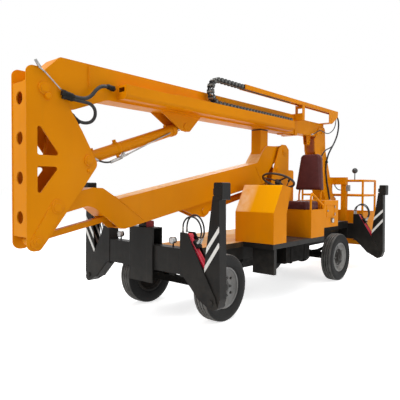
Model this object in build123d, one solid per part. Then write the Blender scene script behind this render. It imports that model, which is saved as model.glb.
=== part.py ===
# Self-propelled articulated boom lift with four folding outriggers, stowed, in millimetres.
# X points to the front, Y to the driver's left and Z up; places below count X from the front axle.
from build123d import *
import math
import os

# Overall stance
wheel_base = 2966
track = 1229
front_reach = 2022          # front axle to the bell crank's front face
rear_overhang = 1724        # rear axle to the basket's rear face
rear_reach = wheel_base + rear_overhang
origin_x = (front_reach - rear_reach) / 2

# Wheels
tyre_radius = 375
tyre_width = 185
rim_radius = 218
tread_ribs = 4
bead_half = 66              # half the rim's width between its flanges
flange_height = 13
rim_face = 18               # rim's disc outboard of the wheel's middle plane
hub_radius = 62
wheel_nuts = 6
spindle_radius = 28

# Chassis
rail_outer_y = 330
rail_inner_y = 255
rail_bottom = 560
deck_bottom = 722
deck_top = 785
deck_plate = 6
platform_y = 784            # outer edge of the side platforms
platform_front = -815
beam_bottom = 600
beam_top = 864
beam_depth = 124
sill_y = 490                # outer face of the sills beside the rear wheels
sill_top = 905

# Outriggers: places are (y, z)
front_leg_x = 560
rear_leg_x = -wheel_base - 814
leg_depth = 106
arm_plate = 12
arm_top = 1032
leg_pivot = (1000, 385)
leg_pin_radius = 28
arm_cylinder_base = (655, 990)
leg_cylinder_eye = (962, 590)
leg_top = 1410
leg_plate = 8
foot_top = 1538

# Boom sections
upper_half_y = 110
upper_bottom = 2340
upper_height = 310
upper_top = upper_bottom + upper_height
upper_wall = 12
inner_half_y = 84
inner_wall = 8
slide_below = 22            # room for the slide pads under the inner boom
slide_above = 26
inner_bottom = upper_bottom + upper_wall + slide_below
inner_top = upper_top - upper_wall - slide_above
pad_gap = 0.3
boom_half_y = 105
boom_wall = 10
lower_boom_height = 321
lower_boom_drop = 72        # lower boom's top below the line of its pins
crank_half_y = 132.5
crank_plate = 12
turret_half_y = 150
turret_plate = 14

# Boom mechanism: places are (x, z) in the machine's middle plane
turret_x = -wheel_base + 886
turret_pin = (turret_x - 30, 2040)
crank_boom_pin = (front_reach - 284, 1305)
crank_tie_pin = (front_reach - 101, 1016)
crank_cylinder_pin = (front_reach - 619, 1740)
upper_pin = (front_reach - 164, upper_bottom + 3)
lower_cylinder_base = (turret_x + 130, 1530)
lower_eye_along = 1908      # lower cylinder's eye from the turret pin, along the boom and below its pin line
lower_eye_drop = 501
upper_cylinder_eye = (upper_pin[0] - 1838, upper_bottom - 140)
pin_clearance = 0.06
boom_pin_radius = 35
tie_pin_radius = 25
lower_foot_radius = 28
upper_foot_radius = 30
telescope_stroke = 2400

# Basket and hanger
basket_length = 630
basket_front = -rear_reach + basket_length
basket_half_y = 620
basket_bottom = 460
basket_panel_top = 1050
basket_mid_rail = 1350
basket_top = 1640
rail_tube = 19
hanger_pin = (basket_front + 605, inner_bottom + 96)
hanger_pin_radius = 32
inner_rear = hanger_pin[0] - 90
inner_front = upper_pin[0] - 1008
upper_rear = inner_rear + 1015

parts = {}


def keep(name, *solids):
    parts[name] = solids


def outline(points, radii=None):
    # closed outline from (a, b) points; radii maps a point's index to its corner radius
    sketch = Polygon(*points, align=None)
    for index, radius in (radii or {}).items():
        corner = sketch.vertices().sort_by_distance(Vector(points[index][0], points[index][1], 0))[0]
        sketch = fillet(corner, radius)
    return sketch


def side_plate(sketch, y_low, y_high):
    # sketch in (x, z), between two values of y
    plane = Plane(origin=(0, y_high, 0), x_dir=(1, 0, 0), z_dir=(0, -1, 0))
    return extrude(plane * sketch, y_high - y_low, dir=(0, -1, 0))


def cross_plate(sketch, x_low, x_high):
    # sketch in (y, z), between two values of x
    plane = Plane(origin=(x_low, 0, 0), x_dir=(0, 1, 0), z_dir=(1, 0, 0))
    return extrude(plane * sketch, x_high - x_low, dir=(1, 0, 0))


def block(x_low, x_high, y_low, y_high, z_low, z_high):
    size = (x_high - x_low, y_high - y_low, z_high - z_low)
    middle = ((x_high + x_low) / 2, (y_high + y_low) / 2, (z_high + z_low) / 2)
    return Pos(*middle) * Box(*size)


def cross_pin(place, radius, y_low, y_high):
    # round bar along y through the (x, z) place
    return Pos(place[0], (y_low + y_high) / 2, place[1]) * Rot(90, 0, 0) * Cylinder(radius,
                                                                                    y_high - y_low)


def long_pin(y, z, radius, x_low, x_high):
    # round bar along x through (y, z)
    return Pos((x_low + x_high) / 2, y, z) * Rot(0, 90, 0) * Cylinder(radius, x_high - x_low)


def bar(start, end, radius):
    # round bar between two points in space
    a, b = Vector(*start), Vector(*end)
    return Solid.make_cylinder(radius, (b - a).length, Plane(origin=a, z_dir=b - a))


def tube_run(points, radius):
    # bent round bar through several points with a ball at each bend
    run = bar(points[0], points[1], radius)
    for start, end in zip(points[1:], points[2:]):
        run += Pos(*start) * Sphere(radius)
        run += bar(start, end, radius)
    return run


def mirrored(shape):
    return mirror(shape, about=Plane.XZ)


def on_side(side, y_low, y_high):
    # the two values of y for the left (1) or right (-1) side, lowest first
    return sorted((side * y_low, side * y_high))


def along(start, end, distance, drop=0):
    # point at a distance from start towards end, moved square to that line by drop (downwards when facing +x)
    dx, dz = end[0] - start[0], end[1] - start[1]
    length = math.hypot(dx, dz)
    ux, uz = dx / length, dz / length
    return (start[0] + ux * distance + uz * drop, start[1] + uz * distance - ux * drop)


def shifted(place, offsets):
    # points given from a place
    return [(place[0] + dx, place[1] + dz) for dx, dz in offsets]


def bore_through(shape, place, radius):
    return shape - cross_pin(place, radius, -2000, 2000)


def on_boom(distance, drop):
    return along(turret_pin, crank_boom_pin, distance, drop)


lower_cylinder_eye = on_boom(lower_eye_along, lower_eye_drop)


# Wheels: tyre with a ribbed tread, dished rim with hand holes and nuts
def make_tyre():
    half = tyre_width / 2
    crown = tyre_radius - 10
    shoulder = crown - 45
    bulge = rim_radius + 62
    bead_top = rim_radius + flange_height
    section = Polygon((-bead_half, rim_radius), (-bead_half, bead_top), (-half, bulge), (-half, shoulder),
                      (-half * 0.86, crown), (half * 0.86, crown), (half, shoulder), (half, bulge),
                      (bead_half, bead_top), (bead_half, rim_radius), align=None)
    plane = Plane(origin=(0, 0, 0), x_dir=(0, 1, 0), z_dir=(1, 0, 0))
    tyre = revolve(plane * section, Axis.Y)
    # tread ribs stand up to the full radius with grooves between them
    rib = half * 1.72 / tread_ribs
    for index in range(tread_ribs):
        middle = (index - (tread_ribs - 1) / 2) * rib
        band = Polygon((middle - rib * 0.38, crown - 2), (middle - rib * 0.38, tyre_radius),
                       (middle + rib * 0.38, tyre_radius), (middle + rib * 0.38, crown - 2), align=None)
        tyre += revolve(plane * band, Axis.Y)
    return tyre


def make_rim():
    # section in (y, radius), outboard face towards +y
    half = bead_half
    wall = 7
    dish = rim_face
    lip = rim_radius + flange_height - 1
    well = rim_radius - 34
    section = Polygon((-half, rim_radius), (half, rim_radius), (half, lip), (half + 6, lip),
                      (half + 6, rim_radius - 4),
                      (half - 8, rim_radius - 9), (half - 30, well), (dish + 6, 150),
                      (dish + 26, 128), (dish + 26, 96), (dish + 4, 84), (dish + 4, 40),
                      (dish - 6, 40), (dish - 6, 90), (dish + 16, 100), (dish + 16, 124),
                      (dish - 4, 146), (half - 42, well - wall), (-half + 24, well - wall),
                      (-half - 6, rim_radius - 6), (-half - 6, lip), (-half, lip), align=None)
    plane = Plane(origin=(0, 0, 0), x_dir=(0, 1, 0), z_dir=(1, 0, 0))
    rim = revolve(plane * section, Axis.Y)
    for index in range(wheel_nuts):
        angle = 360 / wheel_nuts * index
        rim -= Rot(0, angle + 30, 0) * Pos(167, dish, 0) * Rot(90, 0, 0) * Cylinder(17, 90)
        nut = extrude(RegularPolygon(13, 6), 16)
        rim += Rot(0, angle, 0) * Pos(112, dish + 40, 0) * Rot(90, 0, 0) * nut
    # hub drum with its cap, bored for the spindle
    rim += Pos(0, dish - 20, 0) * Rot(90, 0, 0) * Cylinder(hub_radius, 84)
    rim += Pos(0, dish + 34, 0) * Rot(90, 0, 0) * Cylinder(44, 28)
    rim -= Pos(0, dish - 26, 0) * Rot(90, 0, 0) * Cylinder(spindle_radius + pin_clearance, 90)
    return rim


wheel_places = {"front_left": (0, 1), "front_right": (0, -1),
                "rear_left": (-wheel_base, 1), "rear_right": (-wheel_base, -1)}
tyre_shape = make_tyre()
rim_shape = make_rim()
for corner, (x, side) in wheel_places.items():
    turn = Rot(0, 0, 0 if side > 0 else 180)
    place = Pos(x, side * track / 2, tyre_radius)
    keep("tyre_" + corner, place * turn * tyre_shape)
    keep("rim_" + corner, place * turn * rim_shape)

# Front axle with kingpins, leaf springs and the steered knuckles
axle_z = tyre_radius
kingpin_y = track / 2 - 115
kingpin_radius = 20
spring_y = 292
spring_radius = 1400        # curve of the lowest leaf's underside
leaf_height = 9
leaf_lengths = (230, 330, 430)
spring_seat = axle_z + 60


def leaf_spring(x, y):
    # nested leaves on one centre of curvature, the longest on top
    centre = spring_seat + spring_radius
    spring = None
    for index, half_length in enumerate(leaf_lengths):
        low, high = spring_radius - index * leaf_height, spring_radius - (index + 1) * leaf_height
        low_end = centre - math.sqrt(low ** 2 - half_length ** 2)
        high_end = centre - math.sqrt(high ** 2 - half_length ** 2)
        edges = [ThreePointArc((-half_length, low_end), (0, centre - low), (half_length, low_end)),
                 Line((half_length, low_end), (half_length, high_end)),
                 ThreePointArc((half_length, high_end), (0, centre - high), (-half_length, high_end)),
                 Line((-half_length, high_end), (-half_length, low_end))]
        leaf = side_plate(make_face(edges), y - 30, y + 30)
        spring = leaf if spring is None else spring + leaf
    return Pos(x, 0, 0) * spring


def spring_pad(x, side):
    middle = side * spring_y
    return block(x - 55, x + 55, middle - 38, middle + 38, axle_z + 35, spring_seat + 5)


top_leaf = spring_radius - len(leaf_lengths) * leaf_height
spring_end_z = spring_seat + spring_radius - math.sqrt(top_leaf ** 2 - leaf_lengths[-1] ** 2)
front_axle = block(-40, 40, -kingpin_y + 30, kingpin_y - 30, axle_z - 45, axle_z + 35)
for side in (1, -1):
    y = side * kingpin_y
    front_axle += Pos(0, y, axle_z) * Cylinder(38, 90)
    front_axle += Pos(0, y, axle_z) * Cylinder(kingpin_radius, 176)
    front_axle += spring_pad(0, side)
    front_axle += leaf_spring(0, side * spring_y)
keep("front_axle", front_axle)

ear_height = 43
ear_middle = 66.5           # knuckle's ears above and below the axle's eye
spindle_end = track / 2 + rim_face + 16
for name, side in (("left", 1), ("right", -1)):
    y = side * kingpin_y
    web_low, web_high = on_side(side, kingpin_y + 40, kingpin_y + 66)
    knuckle = block(-34, 34, web_low, web_high, axle_z - ear_middle - 21.5, axle_z + ear_middle + 21.5)
    ear_low, ear_high = on_side(side, kingpin_y, kingpin_y + 66)
    for z in (axle_z + ear_middle, axle_z - ear_middle):
        knuckle += Pos(0, y, z) * Cylinder(38, ear_height)
        knuckle += block(-34, 34, ear_low, ear_high, z - ear_height / 2, z + ear_height / 2)
    knuckle += bar((0, side * (kingpin_y + 50), axle_z), (0, side * spindle_end, axle_z), spindle_radius)
    # steering arm reaching back from the lower ear
    arm_low, arm_high = on_side(side, kingpin_y - 4, kingpin_y + 26)
    knuckle += block(-170, -20, arm_low, arm_high, axle_z - ear_middle - 21.5, axle_z - 62)
    knuckle -= Pos(0, y, axle_z) * Cylinder(kingpin_radius + pin_clearance, 400)
    keep("knuckle_" + name, knuckle)

# Ladder frame with cross members, spring hangers and the sills beside the rear wheels
frame_front = front_leg_x - beam_depth / 2
frame_rear = rear_leg_x + beam_depth / 2
seat_front = -1790
seat_rear = seat_front - 399
member_half = 35
members = (-560, -1000, -wheel_base + 1246, -wheel_base + 486, -wheel_base - 414)
engine_front = members[1] - member_half
engine_rear = members[2] + member_half
frame = None
for side in (1, -1):
    low, high = on_side(side, rail_inner_y, rail_outer_y)
    rail = block(frame_rear, frame_front, low, high, rail_bottom, deck_bottom)
    hollow_low, hollow_high = on_side(side, rail_inner_y - 1, rail_outer_y - 10)
    rail -= block(frame_rear + 20, frame_front - 20, hollow_low, hollow_high, rail_bottom + 12,
                  deck_bottom - 12)
    for x in (0, -wheel_base):
        for end in (x - leaf_lengths[-1], x + leaf_lengths[-1]):
            rail += block(end - 20, end + 20, side * spring_y - 34, side * spring_y + 34,
                          spring_end_z, rail_bottom + 1)
    low, high = on_side(side, rail_outer_y, sill_y)
    sill = block(frame_rear, seat_rear, low, high, deck_top, sill_top)
    sill -= block(frame_rear + 20, seat_rear - 20, low + 8, high - 8, deck_top - 1, sill_top - 8)
    # outrigger brackets tie each sill to its rail
    for x in (frame_rear, seat_rear - 20):
        sill += block(x, x + 20, low, high, deck_bottom - 60, deck_top + 1)
    frame = rail + sill if frame is None else frame + rail + sill
for x in members:
    frame += block(x - member_half, x + member_half, -rail_outer_y + 10, rail_outer_y - 10,
                   rail_bottom + 12, deck_bottom - 12)
keep("chassis_frame", frame)

# Driven rear axle with its banjo housing, springs and propeller shaft
axle_end = track / 2 + rim_face - 72
rear_axle = bar((-wheel_base, -axle_end, axle_z), (-wheel_base, axle_end, axle_z), 52)
rear_axle += Pos(-wheel_base, 0, axle_z) * Sphere(150)
for side in (1, -1):
    rear_axle += bar((-wheel_base, side * (axle_end - 18), axle_z),
                     (-wheel_base, side * spindle_end, axle_z),
                     spindle_radius)
    rear_axle += spring_pad(-wheel_base, side)
    rear_axle += leaf_spring(-wheel_base, side * spring_y)
rear_axle += bar((-wheel_base + 120, 0, axle_z + 20), (engine_rear - 6, 0, axle_z + 146), 40)
keep("rear_axle", rear_axle)

# Front and rear beams with the fixed arms that carry the outrigger legs, arm outline in (y, z)
arm_root = 585
arm_points = [(arm_root, beam_bottom), (arm_root, arm_top), (678, arm_top), (888, 690), (1052, 432),
              (1078, 330), (1010, 302), (855, 380), (644, 586)]
web_points = [(arm_root, 590), (640, 590), (850, 385), (842, 377), (636, 578), (arm_root, 578)]
leg_foot_pin = 16


def make_arm_beam(middle):
    front, back = middle + beam_depth / 2, middle - beam_depth / 2
    beam = block(back, front, -600, 600, beam_bottom, beam_top)
    beam -= block(back + 10, front - 10, -560, 560, beam_bottom + 10, beam_top - 10)
    plate_sketch = outline(arm_points, {2: 25, 4: 40, 5: 45, 6: 45, 7: 60})
    for x in (front - arm_plate + 6, back - 6):
        plate = cross_plate(plate_sketch, x, x + arm_plate)
        beam += plate + mirrored(plate)
    for side in (1, -1):
        # pin for the leg, pin for the cylinder's foot, web along the lower edge and the arm's root plate
        beam += long_pin(side * leg_pivot[0], leg_pivot[1], leg_pin_radius, back - 18, front + 18)
        beam += long_pin(side * arm_cylinder_base[0], arm_cylinder_base[1], leg_foot_pin, back, front)
        web = cross_plate(outline(web_points), back, front)
        web += block(back, front, arm_root, arm_root + 12, beam_bottom, arm_top - 30)
        beam += web if side > 0 else mirrored(web)
    return beam


keep("front_outrigger_beam", make_arm_beam(front_leg_x))
keep("rear_outrigger_beam", make_arm_beam(rear_leg_x))

# Outrigger legs: tapered channel open towards the arm, boss at the pivot and a foot at the tip
leg_points = [(900, 690), (926, 900), (1003, leg_top), (1080, leg_top), (1096, 420), (1062, 318),
              (1000, 305), (930, 360)]
hollow_points = [(890, 860), (930, 1000), (992, leg_top - 12), (1072, leg_top - 12), (1086, 470),
                 (1075, 470), (860, 470), (860, 860)]
foot_half_x = 62


def make_leg(middle):
    front, back = middle + leg_depth / 2, middle - leg_depth / 2
    sketch = outline(leg_points, {0: 30, 4: 40, 5: 40, 6: 40, 7: 40})
    leg = cross_plate(sketch, back, front)
    leg -= cross_plate(outline(hollow_points), back + leg_plate, front - leg_plate)
    leg += block(back + leg_plate, front - leg_plate, 934, 1080, 1010, 1018)
    leg -= long_pin(leg_pivot[0], leg_pivot[1], leg_pin_radius + pin_clearance, back - 50, front + 50)
    foot = block(middle - foot_half_x, middle + foot_half_x, 1022, 1128, leg_top - 40, foot_top)
    foot = fillet(foot.edges().filter_by(Axis.X), 18)
    leg += foot
    # ears on the foot's inner side, as it is folded up
    for x in (middle - 40, middle + 24):
        leg += block(x, x + 16, 996, 1024, leg_top + 10, leg_top + 70)
    return leg


leg_eye_half = leg_depth / 2 - leg_plate - 5
leg_barrel_radius = 30
leg_rod_radius = 17


def make_leg_cylinder():
    # barrel with its foot eye, rod with its eye, in (y, z), at x = 0
    base, eye = arm_cylinder_base, leg_cylinder_eye
    dy, dz = eye[0] - base[0], eye[1] - base[1]
    length = math.hypot(dy, dz)
    uy, uz = dy / length, dz / length

    def point(distance):
        return (0, base[0] + uy * distance, base[1] + uz * distance)

    gland = length - 66
    barrel = bar(point(0), point(gland), leg_barrel_radius)
    barrel += long_pin(base[0], base[1], leg_barrel_radius + 4, -leg_barrel_radius, leg_barrel_radius)
    barrel += bar(point(gland - 14), point(gland), leg_barrel_radius + 6)
    barrel -= bar(point(24), point(length), leg_rod_radius + pin_clearance)
    barrel -= long_pin(base[0], base[1], leg_foot_pin + pin_clearance, -60, 60)
    rod = bar(point(30), point(length - 20), leg_rod_radius)
    rod += long_pin(eye[0], eye[1], leg_barrel_radius, -leg_eye_half, leg_eye_half)
    return barrel, rod


barrel_shape, rod_shape = make_leg_cylinder()
for name, middle, side in (("front_left", front_leg_x, 1), ("front_right", front_leg_x, -1),
                           ("rear_left", rear_leg_x, 1), ("rear_right", rear_leg_x, -1)):
    pieces = [make_leg(middle), Pos(middle, 0, 0) * barrel_shape, Pos(middle, 0, 0) * rod_shape]
    if side < 0:
        pieces = [mirrored(piece) for piece in pieces]
    for label, piece in zip(("outrigger_leg_", "outrigger_barrel_", "outrigger_rod_"), pieces):
        keep(label + name, piece)

# Boom cradle on the front beam, with a rest pad just under the stowed lower boom
cradle_half_y = 190
cradle_bottom = 455
cradle_top = 1050
cradle_plate = 12
beam_front = front_leg_x + beam_depth / 2
cradle_front = beam_front + 24
cradle = block(cradle_front - cradle_plate, cradle_front, -cradle_half_y, cradle_half_y, cradle_bottom,
               cradle_top)
for side in (1, -1):
    low, high = on_side(side, cradle_half_y - cradle_plate, cradle_half_y)
    cradle += block(beam_front, cradle_front - 6, low, high, beam_bottom, cradle_top)
cradle += block(frame_front, cradle_front, -cradle_half_y, cradle_half_y, cradle_top - cradle_plate,
                cradle_top)
cradle += block(frame_front, frame_front + cradle_plate, -cradle_half_y, cradle_half_y, beam_top,
                cradle_top)
keep("boom_cradle", cradle)
pad_half_x = 55
pad_clear = 5.4
boom_dx, boom_dz = crank_boom_pin[0] - turret_pin[0], crank_boom_pin[1] - turret_pin[1]
pin_line = math.hypot(boom_dx, boom_dz)
boom_slope = boom_dz / boom_dx
box_top = lower_boom_drop
box_bottom = lower_boom_drop + lower_boom_height
underside = on_boom(0, box_bottom)
pad_top = underside[1] + (front_leg_x + pad_half_x - underside[0]) * boom_slope - pad_clear
keep("cradle_pad", block(front_leg_x - pad_half_x, front_leg_x + pad_half_x, -60, 60, cradle_top,
                         pad_top))

# Deck: a folded tray over the frame, and a dark platform each side of it
deck = block(frame_rear, frame_front, -rail_outer_y, rail_outer_y, deck_bottom, deck_top)
deck -= block(frame_rear + deck_plate, frame_front - deck_plate, -rail_outer_y + deck_plate,
              rail_outer_y - deck_plate, deck_bottom - 1, deck_top - deck_plate)
for x in members:
    deck += block(x - 4, x + 4, -rail_outer_y + deck_plate - 1, rail_outer_y - deck_plate + 1,
                  deck_bottom, deck_top - 2)
keep("deck", deck)
platforms = []
step_front = platform_front - 75
for side in (1, -1):
    low, high = on_side(side, rail_outer_y, platform_y)
    wing = block(seat_rear, platform_front, low, high, deck_bottom, deck_top)
    wing -= block(seat_rear + deck_plate, platform_front - deck_plate, low + deck_plate,
                  high - deck_plate,
                  deck_bottom - 1, deck_top - deck_plate)
    # guard plate hanging under the platform's front corner
    low, high = on_side(side, 430, platform_y - 34)
    wing += block(step_front - 8, step_front, low, high, axle_z + 15, deck_top - 2)
    wing += block(step_front - 60, step_front - 1, low, low + 8, axle_z + 15, deck_top - 2)
    wing += block(step_front - 60, step_front - 1, high - 8, high, axle_z + 15, deck_top - 2)
    platforms.append(wing)
keep("platforms", *platforms)

# Driver's cowl: a bent sheet housing open towards the driver, outline in (x, z)
cowl_right, cowl_left = 195, platform_y
cowl_wall = 4
cowl_front = platform_front - 5
cowl_crease = deck_top + 390
cowl_top = deck_top + 740
cowl_points = [(cowl_front, deck_top), (cowl_front, cowl_crease), (cowl_front - 200, cowl_top),
               (cowl_front - 415, cowl_top - 35), (cowl_front - 305, cowl_crease - 25),
               (cowl_front - 308, deck_top)]
cowl = side_plate(outline(cowl_points, {1: 40, 2: 30, 3: 25}), cowl_right, cowl_left)
cowl_inside = [(cowl_front - cowl_wall, deck_top - 1), (cowl_front - cowl_wall, cowl_crease),
               (cowl_front - 204, cowl_top - 6), (cowl_front - 380, cowl_top - 35),
               (cowl_front - 420, cowl_top - 55),
               (cowl_front - 320, cowl_crease - 25), (cowl_front - 320, deck_top - 1)]
cowl -= side_plate(outline(cowl_inside, {1: 38}), cowl_right + cowl_wall, cowl_left - cowl_wall)
keep("cowl", cowl)

# Steering column on a bracket inside the cowl, and the steering wheel
steering_y = 490
steer_dir = Vector(-0.42, 0, 0.9).normalized()
steer_hub = Vector(cowl_front - 575, steering_y, cowl_top + 60)
column_length = 560
column_low = steer_hub - steer_dir * column_length
column = Solid.make_cylinder(34, column_length - 44.5, Plane(origin=column_low, z_dir=steer_dir))
column += block(cowl_front - 370, cowl_front - cowl_wall, steering_y - 30, steering_y + 30,
                cowl_crease - 115, cowl_crease - 75)
keep("steering_column", column)
wheel_plane = Plane(origin=steer_hub, x_dir=(0, 1, 0), z_dir=steer_dir)
steering_ring = 215
steering_wheel = wheel_plane * Torus(steering_ring, 15)
steering_wheel += wheel_plane * Pos(0, 0, -22) * Cylinder(42, 44)
for angle in (90, 210, 330):
    spoke = Rot(0, 0, angle) * Pos(steering_ring / 2, 0, -6) * Box(steering_ring, 26, 10)
    steering_wheel += wheel_plane * spoke
keep("steering_wheel", steering_wheel)

# Driver's seat: sheet box with backrest tubes and a hand rail, cushion and tapered backrest
seat_right, seat_left = rail_outer_y, platform_y
seat_middle = (seat_right + seat_left) / 2
seat_box_top = deck_top + 395
seat_wall = 4
cushion_top = seat_box_top + 112
seat_box = block(seat_rear, seat_front, seat_right, seat_left, deck_top, seat_box_top)
seat_box -= block(seat_rear + seat_wall, seat_front - seat_wall, seat_right + seat_wall,
                  seat_left - seat_wall,
                  deck_top - 1, seat_box_top - seat_wall)
back_bottom = seat_box_top + 265
back_tube = 13
back_tube_y = 175
tube_x = seat_rear + 26
back_lean = 0.12            # backrest's lean, rearward per unit of height
for y in (seat_middle - back_tube_y, seat_middle + back_tube_y):
    tube = [(tube_x, y, seat_box_top - seat_wall - 1), (tube_x, y, back_bottom - 60),
            (tube_x - 34, y, back_bottom + 40), (tube_x - 34 - 300 * back_lean, y, back_bottom + 340)]
    seat_box += tube_run(tube, back_tube)
rail_y = seat_left - 16
hand_rail = [(seat_front - 12, rail_y, seat_box_top - seat_wall - 1),
             (seat_front - 12, rail_y, seat_box_top + 178),
             (seat_front - 50, rail_y, seat_box_top + 230), (seat_rear + 20, rail_y, seat_box_top + 60),
             (seat_rear + 20, rail_y, seat_box_top - seat_wall - 1)]
seat_box += tube_run(hand_rail, 15)
keep("seat_box", seat_box)
cushion = block(seat_rear + 52, seat_front + 22, seat_right + 16, seat_left - 40, seat_box_top,
                cushion_top)
cushion = fillet(cushion.edges().filter_by(Axis.Z), 50)
cushion = fillet(cushion.faces().sort_by(Axis.Z)[-1].edges(), 30)
back_height = 545
back_plane = Plane(origin=(tube_x - 21, seat_middle, back_bottom), x_dir=(0, 1, 0),
                   z_dir=(1, 0, back_lean))
back_points = [(-222, 0), (222, 0), (162, back_height), (-162, back_height)]
backrest = extrude(back_plane * outline(back_points, {0: 22, 1: 22, 2: 70, 3: 70}), 80)
backrest = fillet(backrest.faces().sort_by(Axis.X)[-1].edges(), 20)
for y in (seat_middle - back_tube_y, seat_middle + back_tube_y):
    tube = [(tube_x, y, back_bottom - 200), (tube_x, y, back_bottom - 60),
            (tube_x - 34, y, back_bottom + 40), (tube_x - 34 - 300 * back_lean, y, back_bottom + 340)]
    backrest -= tube_run(tube, back_tube)
keep("seat_cushion", cushion)
keep("seat_backrest", backrest)

# Cabinet behind the seat, on the left sill, with a door frame on its outer side
cabinet_top = deck_top + 515
cabinet_rear = seat_rear - 468
cabinet = block(cabinet_rear, seat_rear, seat_right, seat_left, sill_top, cabinet_top)
cabinet -= block(cabinet_rear + seat_wall, seat_rear - seat_wall, seat_right + seat_wall,
                 seat_left - seat_wall,
                 sill_top - 1, cabinet_top - seat_wall)
door = block(cabinet_rear + 130, cabinet_rear + 400, seat_left - 1, seat_left + 6, sill_top + 150,
             cabinet_top - 60)
door -= block(cabinet_rear + 142, cabinet_rear + 388, seat_left, seat_left + 8, sill_top + 162,
              cabinet_top - 72)
cabinet += door
keep("rear_cabinet", cabinet)

# Engine between two cross members: block, sump, head and fan drum
engine_bottom = axle_z + 45
engine = block(engine_rear, engine_front, -170, 170, engine_bottom + 60, deck_bottom - 70)
engine += block(engine_rear + 60, engine_front - 60, -120, 120, engine_bottom - 40, engine_bottom + 61)
engine += block(engine_rear + 40, engine_front - 60, -85, 85, deck_bottom - 71, deck_bottom - 8)
engine += long_pin(0, engine_bottom + 110, 150, engine_front - 60, engine_front - 20)
for x in (engine_rear + 140, engine_rear + 300, engine_rear + 460):
    engine += block(x - 12, x + 12, -185, 185, engine_bottom + 80, deck_bottom - 90)
engine += block(engine_rear, engine_rear + 40, -rail_inner_y, rail_inner_y, rail_bottom + 14,
                rail_bottom + 60)
engine += block(engine_front - 40, engine_front, -rail_inner_y, rail_inner_y, rail_bottom + 14,
                rail_bottom + 60)
keep("engine", engine)

# Fuel and oil tanks hung under the platforms on two straps each
tank_front, tank_rear = seat_front + 440, seat_front - 215
tank_bottom = axle_z + 85
tank_inner, tank_outer = rail_outer_y + 40, platform_y - 134
tanks = []
for side in (1, -1):
    low, high = on_side(side, tank_inner, tank_outer)
    tank = block(tank_rear, tank_front, low, high, tank_bottom, deck_bottom - 14)
    tank = fillet(tank.edges().filter_by(Axis.X), 30)
    for x in (tank_rear + 120, tank_front - 160):
        tank += block(x, x + 40, low - 5, high + 5, tank_bottom - 5, deck_top - deck_plate)
    tanks.append(tank)
keep("tanks", *tanks)

# Lamps: two headlamps on stalks from the front beam and one lamp on the cabinet's side
lamp_y = 433
lamp_z = beam_top + 71
lamp_radius = 34
lamp_solids = []
for side in (1, -1):
    y = side * lamp_y
    lamp = long_pin(y, lamp_z, lamp_radius, front_leg_x - 10, front_leg_x + 40)
    lamp += bar((front_leg_x + 10, y, beam_top), (front_leg_x + 10, y, lamp_z - 23), 8)
    lamp_solids.append(lamp)
side_lamp = ((cabinet_rear + seat_rear) / 2 - 9, sill_top + 97)
lamp_solids.append(cross_pin(side_lamp, lamp_radius, seat_left, seat_left + 26))
keep("lamps", *lamp_solids)

# Turntable ring and the turret's two plates with webs between them
ring_step = deck_top + 45
ring_top = deck_top + 87
ring_align = (Align.CENTER, Align.CENTER, Align.MIN)
turntable = Pos(turret_x, 0, deck_top) * Cylinder(300, ring_step - deck_top, align=ring_align)
turntable += Pos(turret_x, 0, ring_step) * Cylinder(270, ring_top - ring_step, align=ring_align)
keep("turntable", turntable)
tie_offset = (crank_tie_pin[0] - crank_boom_pin[0], crank_tie_pin[1] - crank_boom_pin[1])
turret_tie_pin = (turret_pin[0] + tie_offset[0], turret_pin[1] + tie_offset[1])
turret_base = ring_top + 15
turret_head = turret_pin[1]
turret_points = [(turret_x + 360, turret_base), (turret_x + 340, turret_head - 560),
                 (turret_x + 280, turret_head - 310),
                 (turret_x + 116, turret_head + 45), (turret_x + 40, turret_head + 102),
                 (turret_x - 80, turret_head + 102), (turret_x - 162, turret_head + 35),
                 (turret_x - 162, turret_head - 280), (turret_x - 316, turret_head - 280),
                 (turret_x - 316, turret_base)]
turret = block(turret_x - 320, turret_x + 364, -turret_half_y - 20, turret_half_y + 20, ring_top,
               ring_top + 18)
turret_sketch = outline(turret_points, {3: 60, 4: 60, 5: 60, 6: 40, 8: 40})
for low in (turret_half_y - turret_plate, -turret_half_y):
    turret += side_plate(turret_sketch, low, low + turret_plate)
turret += block(turret_x - 312, turret_x - 298, -turret_half_y + 1, turret_half_y - 1,
                ring_top + 10, turret_head - 300)
turret += block(turret_x + 290, turret_x + 304, -turret_half_y + 1, turret_half_y - 1,
                ring_top + 10, turret_head - 710)
turret_pins = ((turret_pin, boom_pin_radius), (turret_tie_pin, tie_pin_radius),
               (lower_cylinder_base, lower_foot_radius))
for place, radius in turret_pins:
    turret += cross_pin(place, radius, -turret_half_y - 14, turret_half_y + 14)
    for low in (turret_half_y, -turret_half_y - 8):
        turret += cross_pin(place, radius + 24, low, low + 8)
keep("turret", turret)

# Lower boom: a welded box with a raised neck at each end, outline in (distance along its pin line, drop below it)
front = pin_line
boom_profile = [(-60, -70), (401, -137), (512, -72), (686, box_top), (front - 707, box_top),
                (front - 539, -72),
                (front - 427, -98), (front, -88), (front + 78, -30), (front + 70, 55), (front - 95, 74),
                (front - 333, 64), (front - 412, 103), (front - 668, box_bottom - 17),
                (front - 731, box_bottom),
                (560, box_bottom), (400, 230), (300, 165), (150, 105), (-60, 70)]
boom_corners = {1: 40, 13: 20, 5: 30, 7: 40, 8: 40, 9: 40}
lower_boom = side_plate(outline([on_boom(*point) for point in boom_profile], boom_corners),
                        -boom_half_y, boom_half_y)
lower_boom += cross_pin(turret_pin, 92, -boom_half_y, boom_half_y)
inner_profile = [(150, -70), (395, -118), (500, -60), (680, box_top + boom_wall),
                 (front - 702, box_top + boom_wall),
                 (front - 533, -60), (front - 427, -86), (front - 278, -78), (front - 278, 50),
                 (front - 340, 52),
                 (front - 428, 92), (front - 678, box_bottom - 27), (front - 738, box_bottom - boom_wall),
                 (570, box_bottom - boom_wall), (408, 220), (310, 155), (180, 90)]
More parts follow.
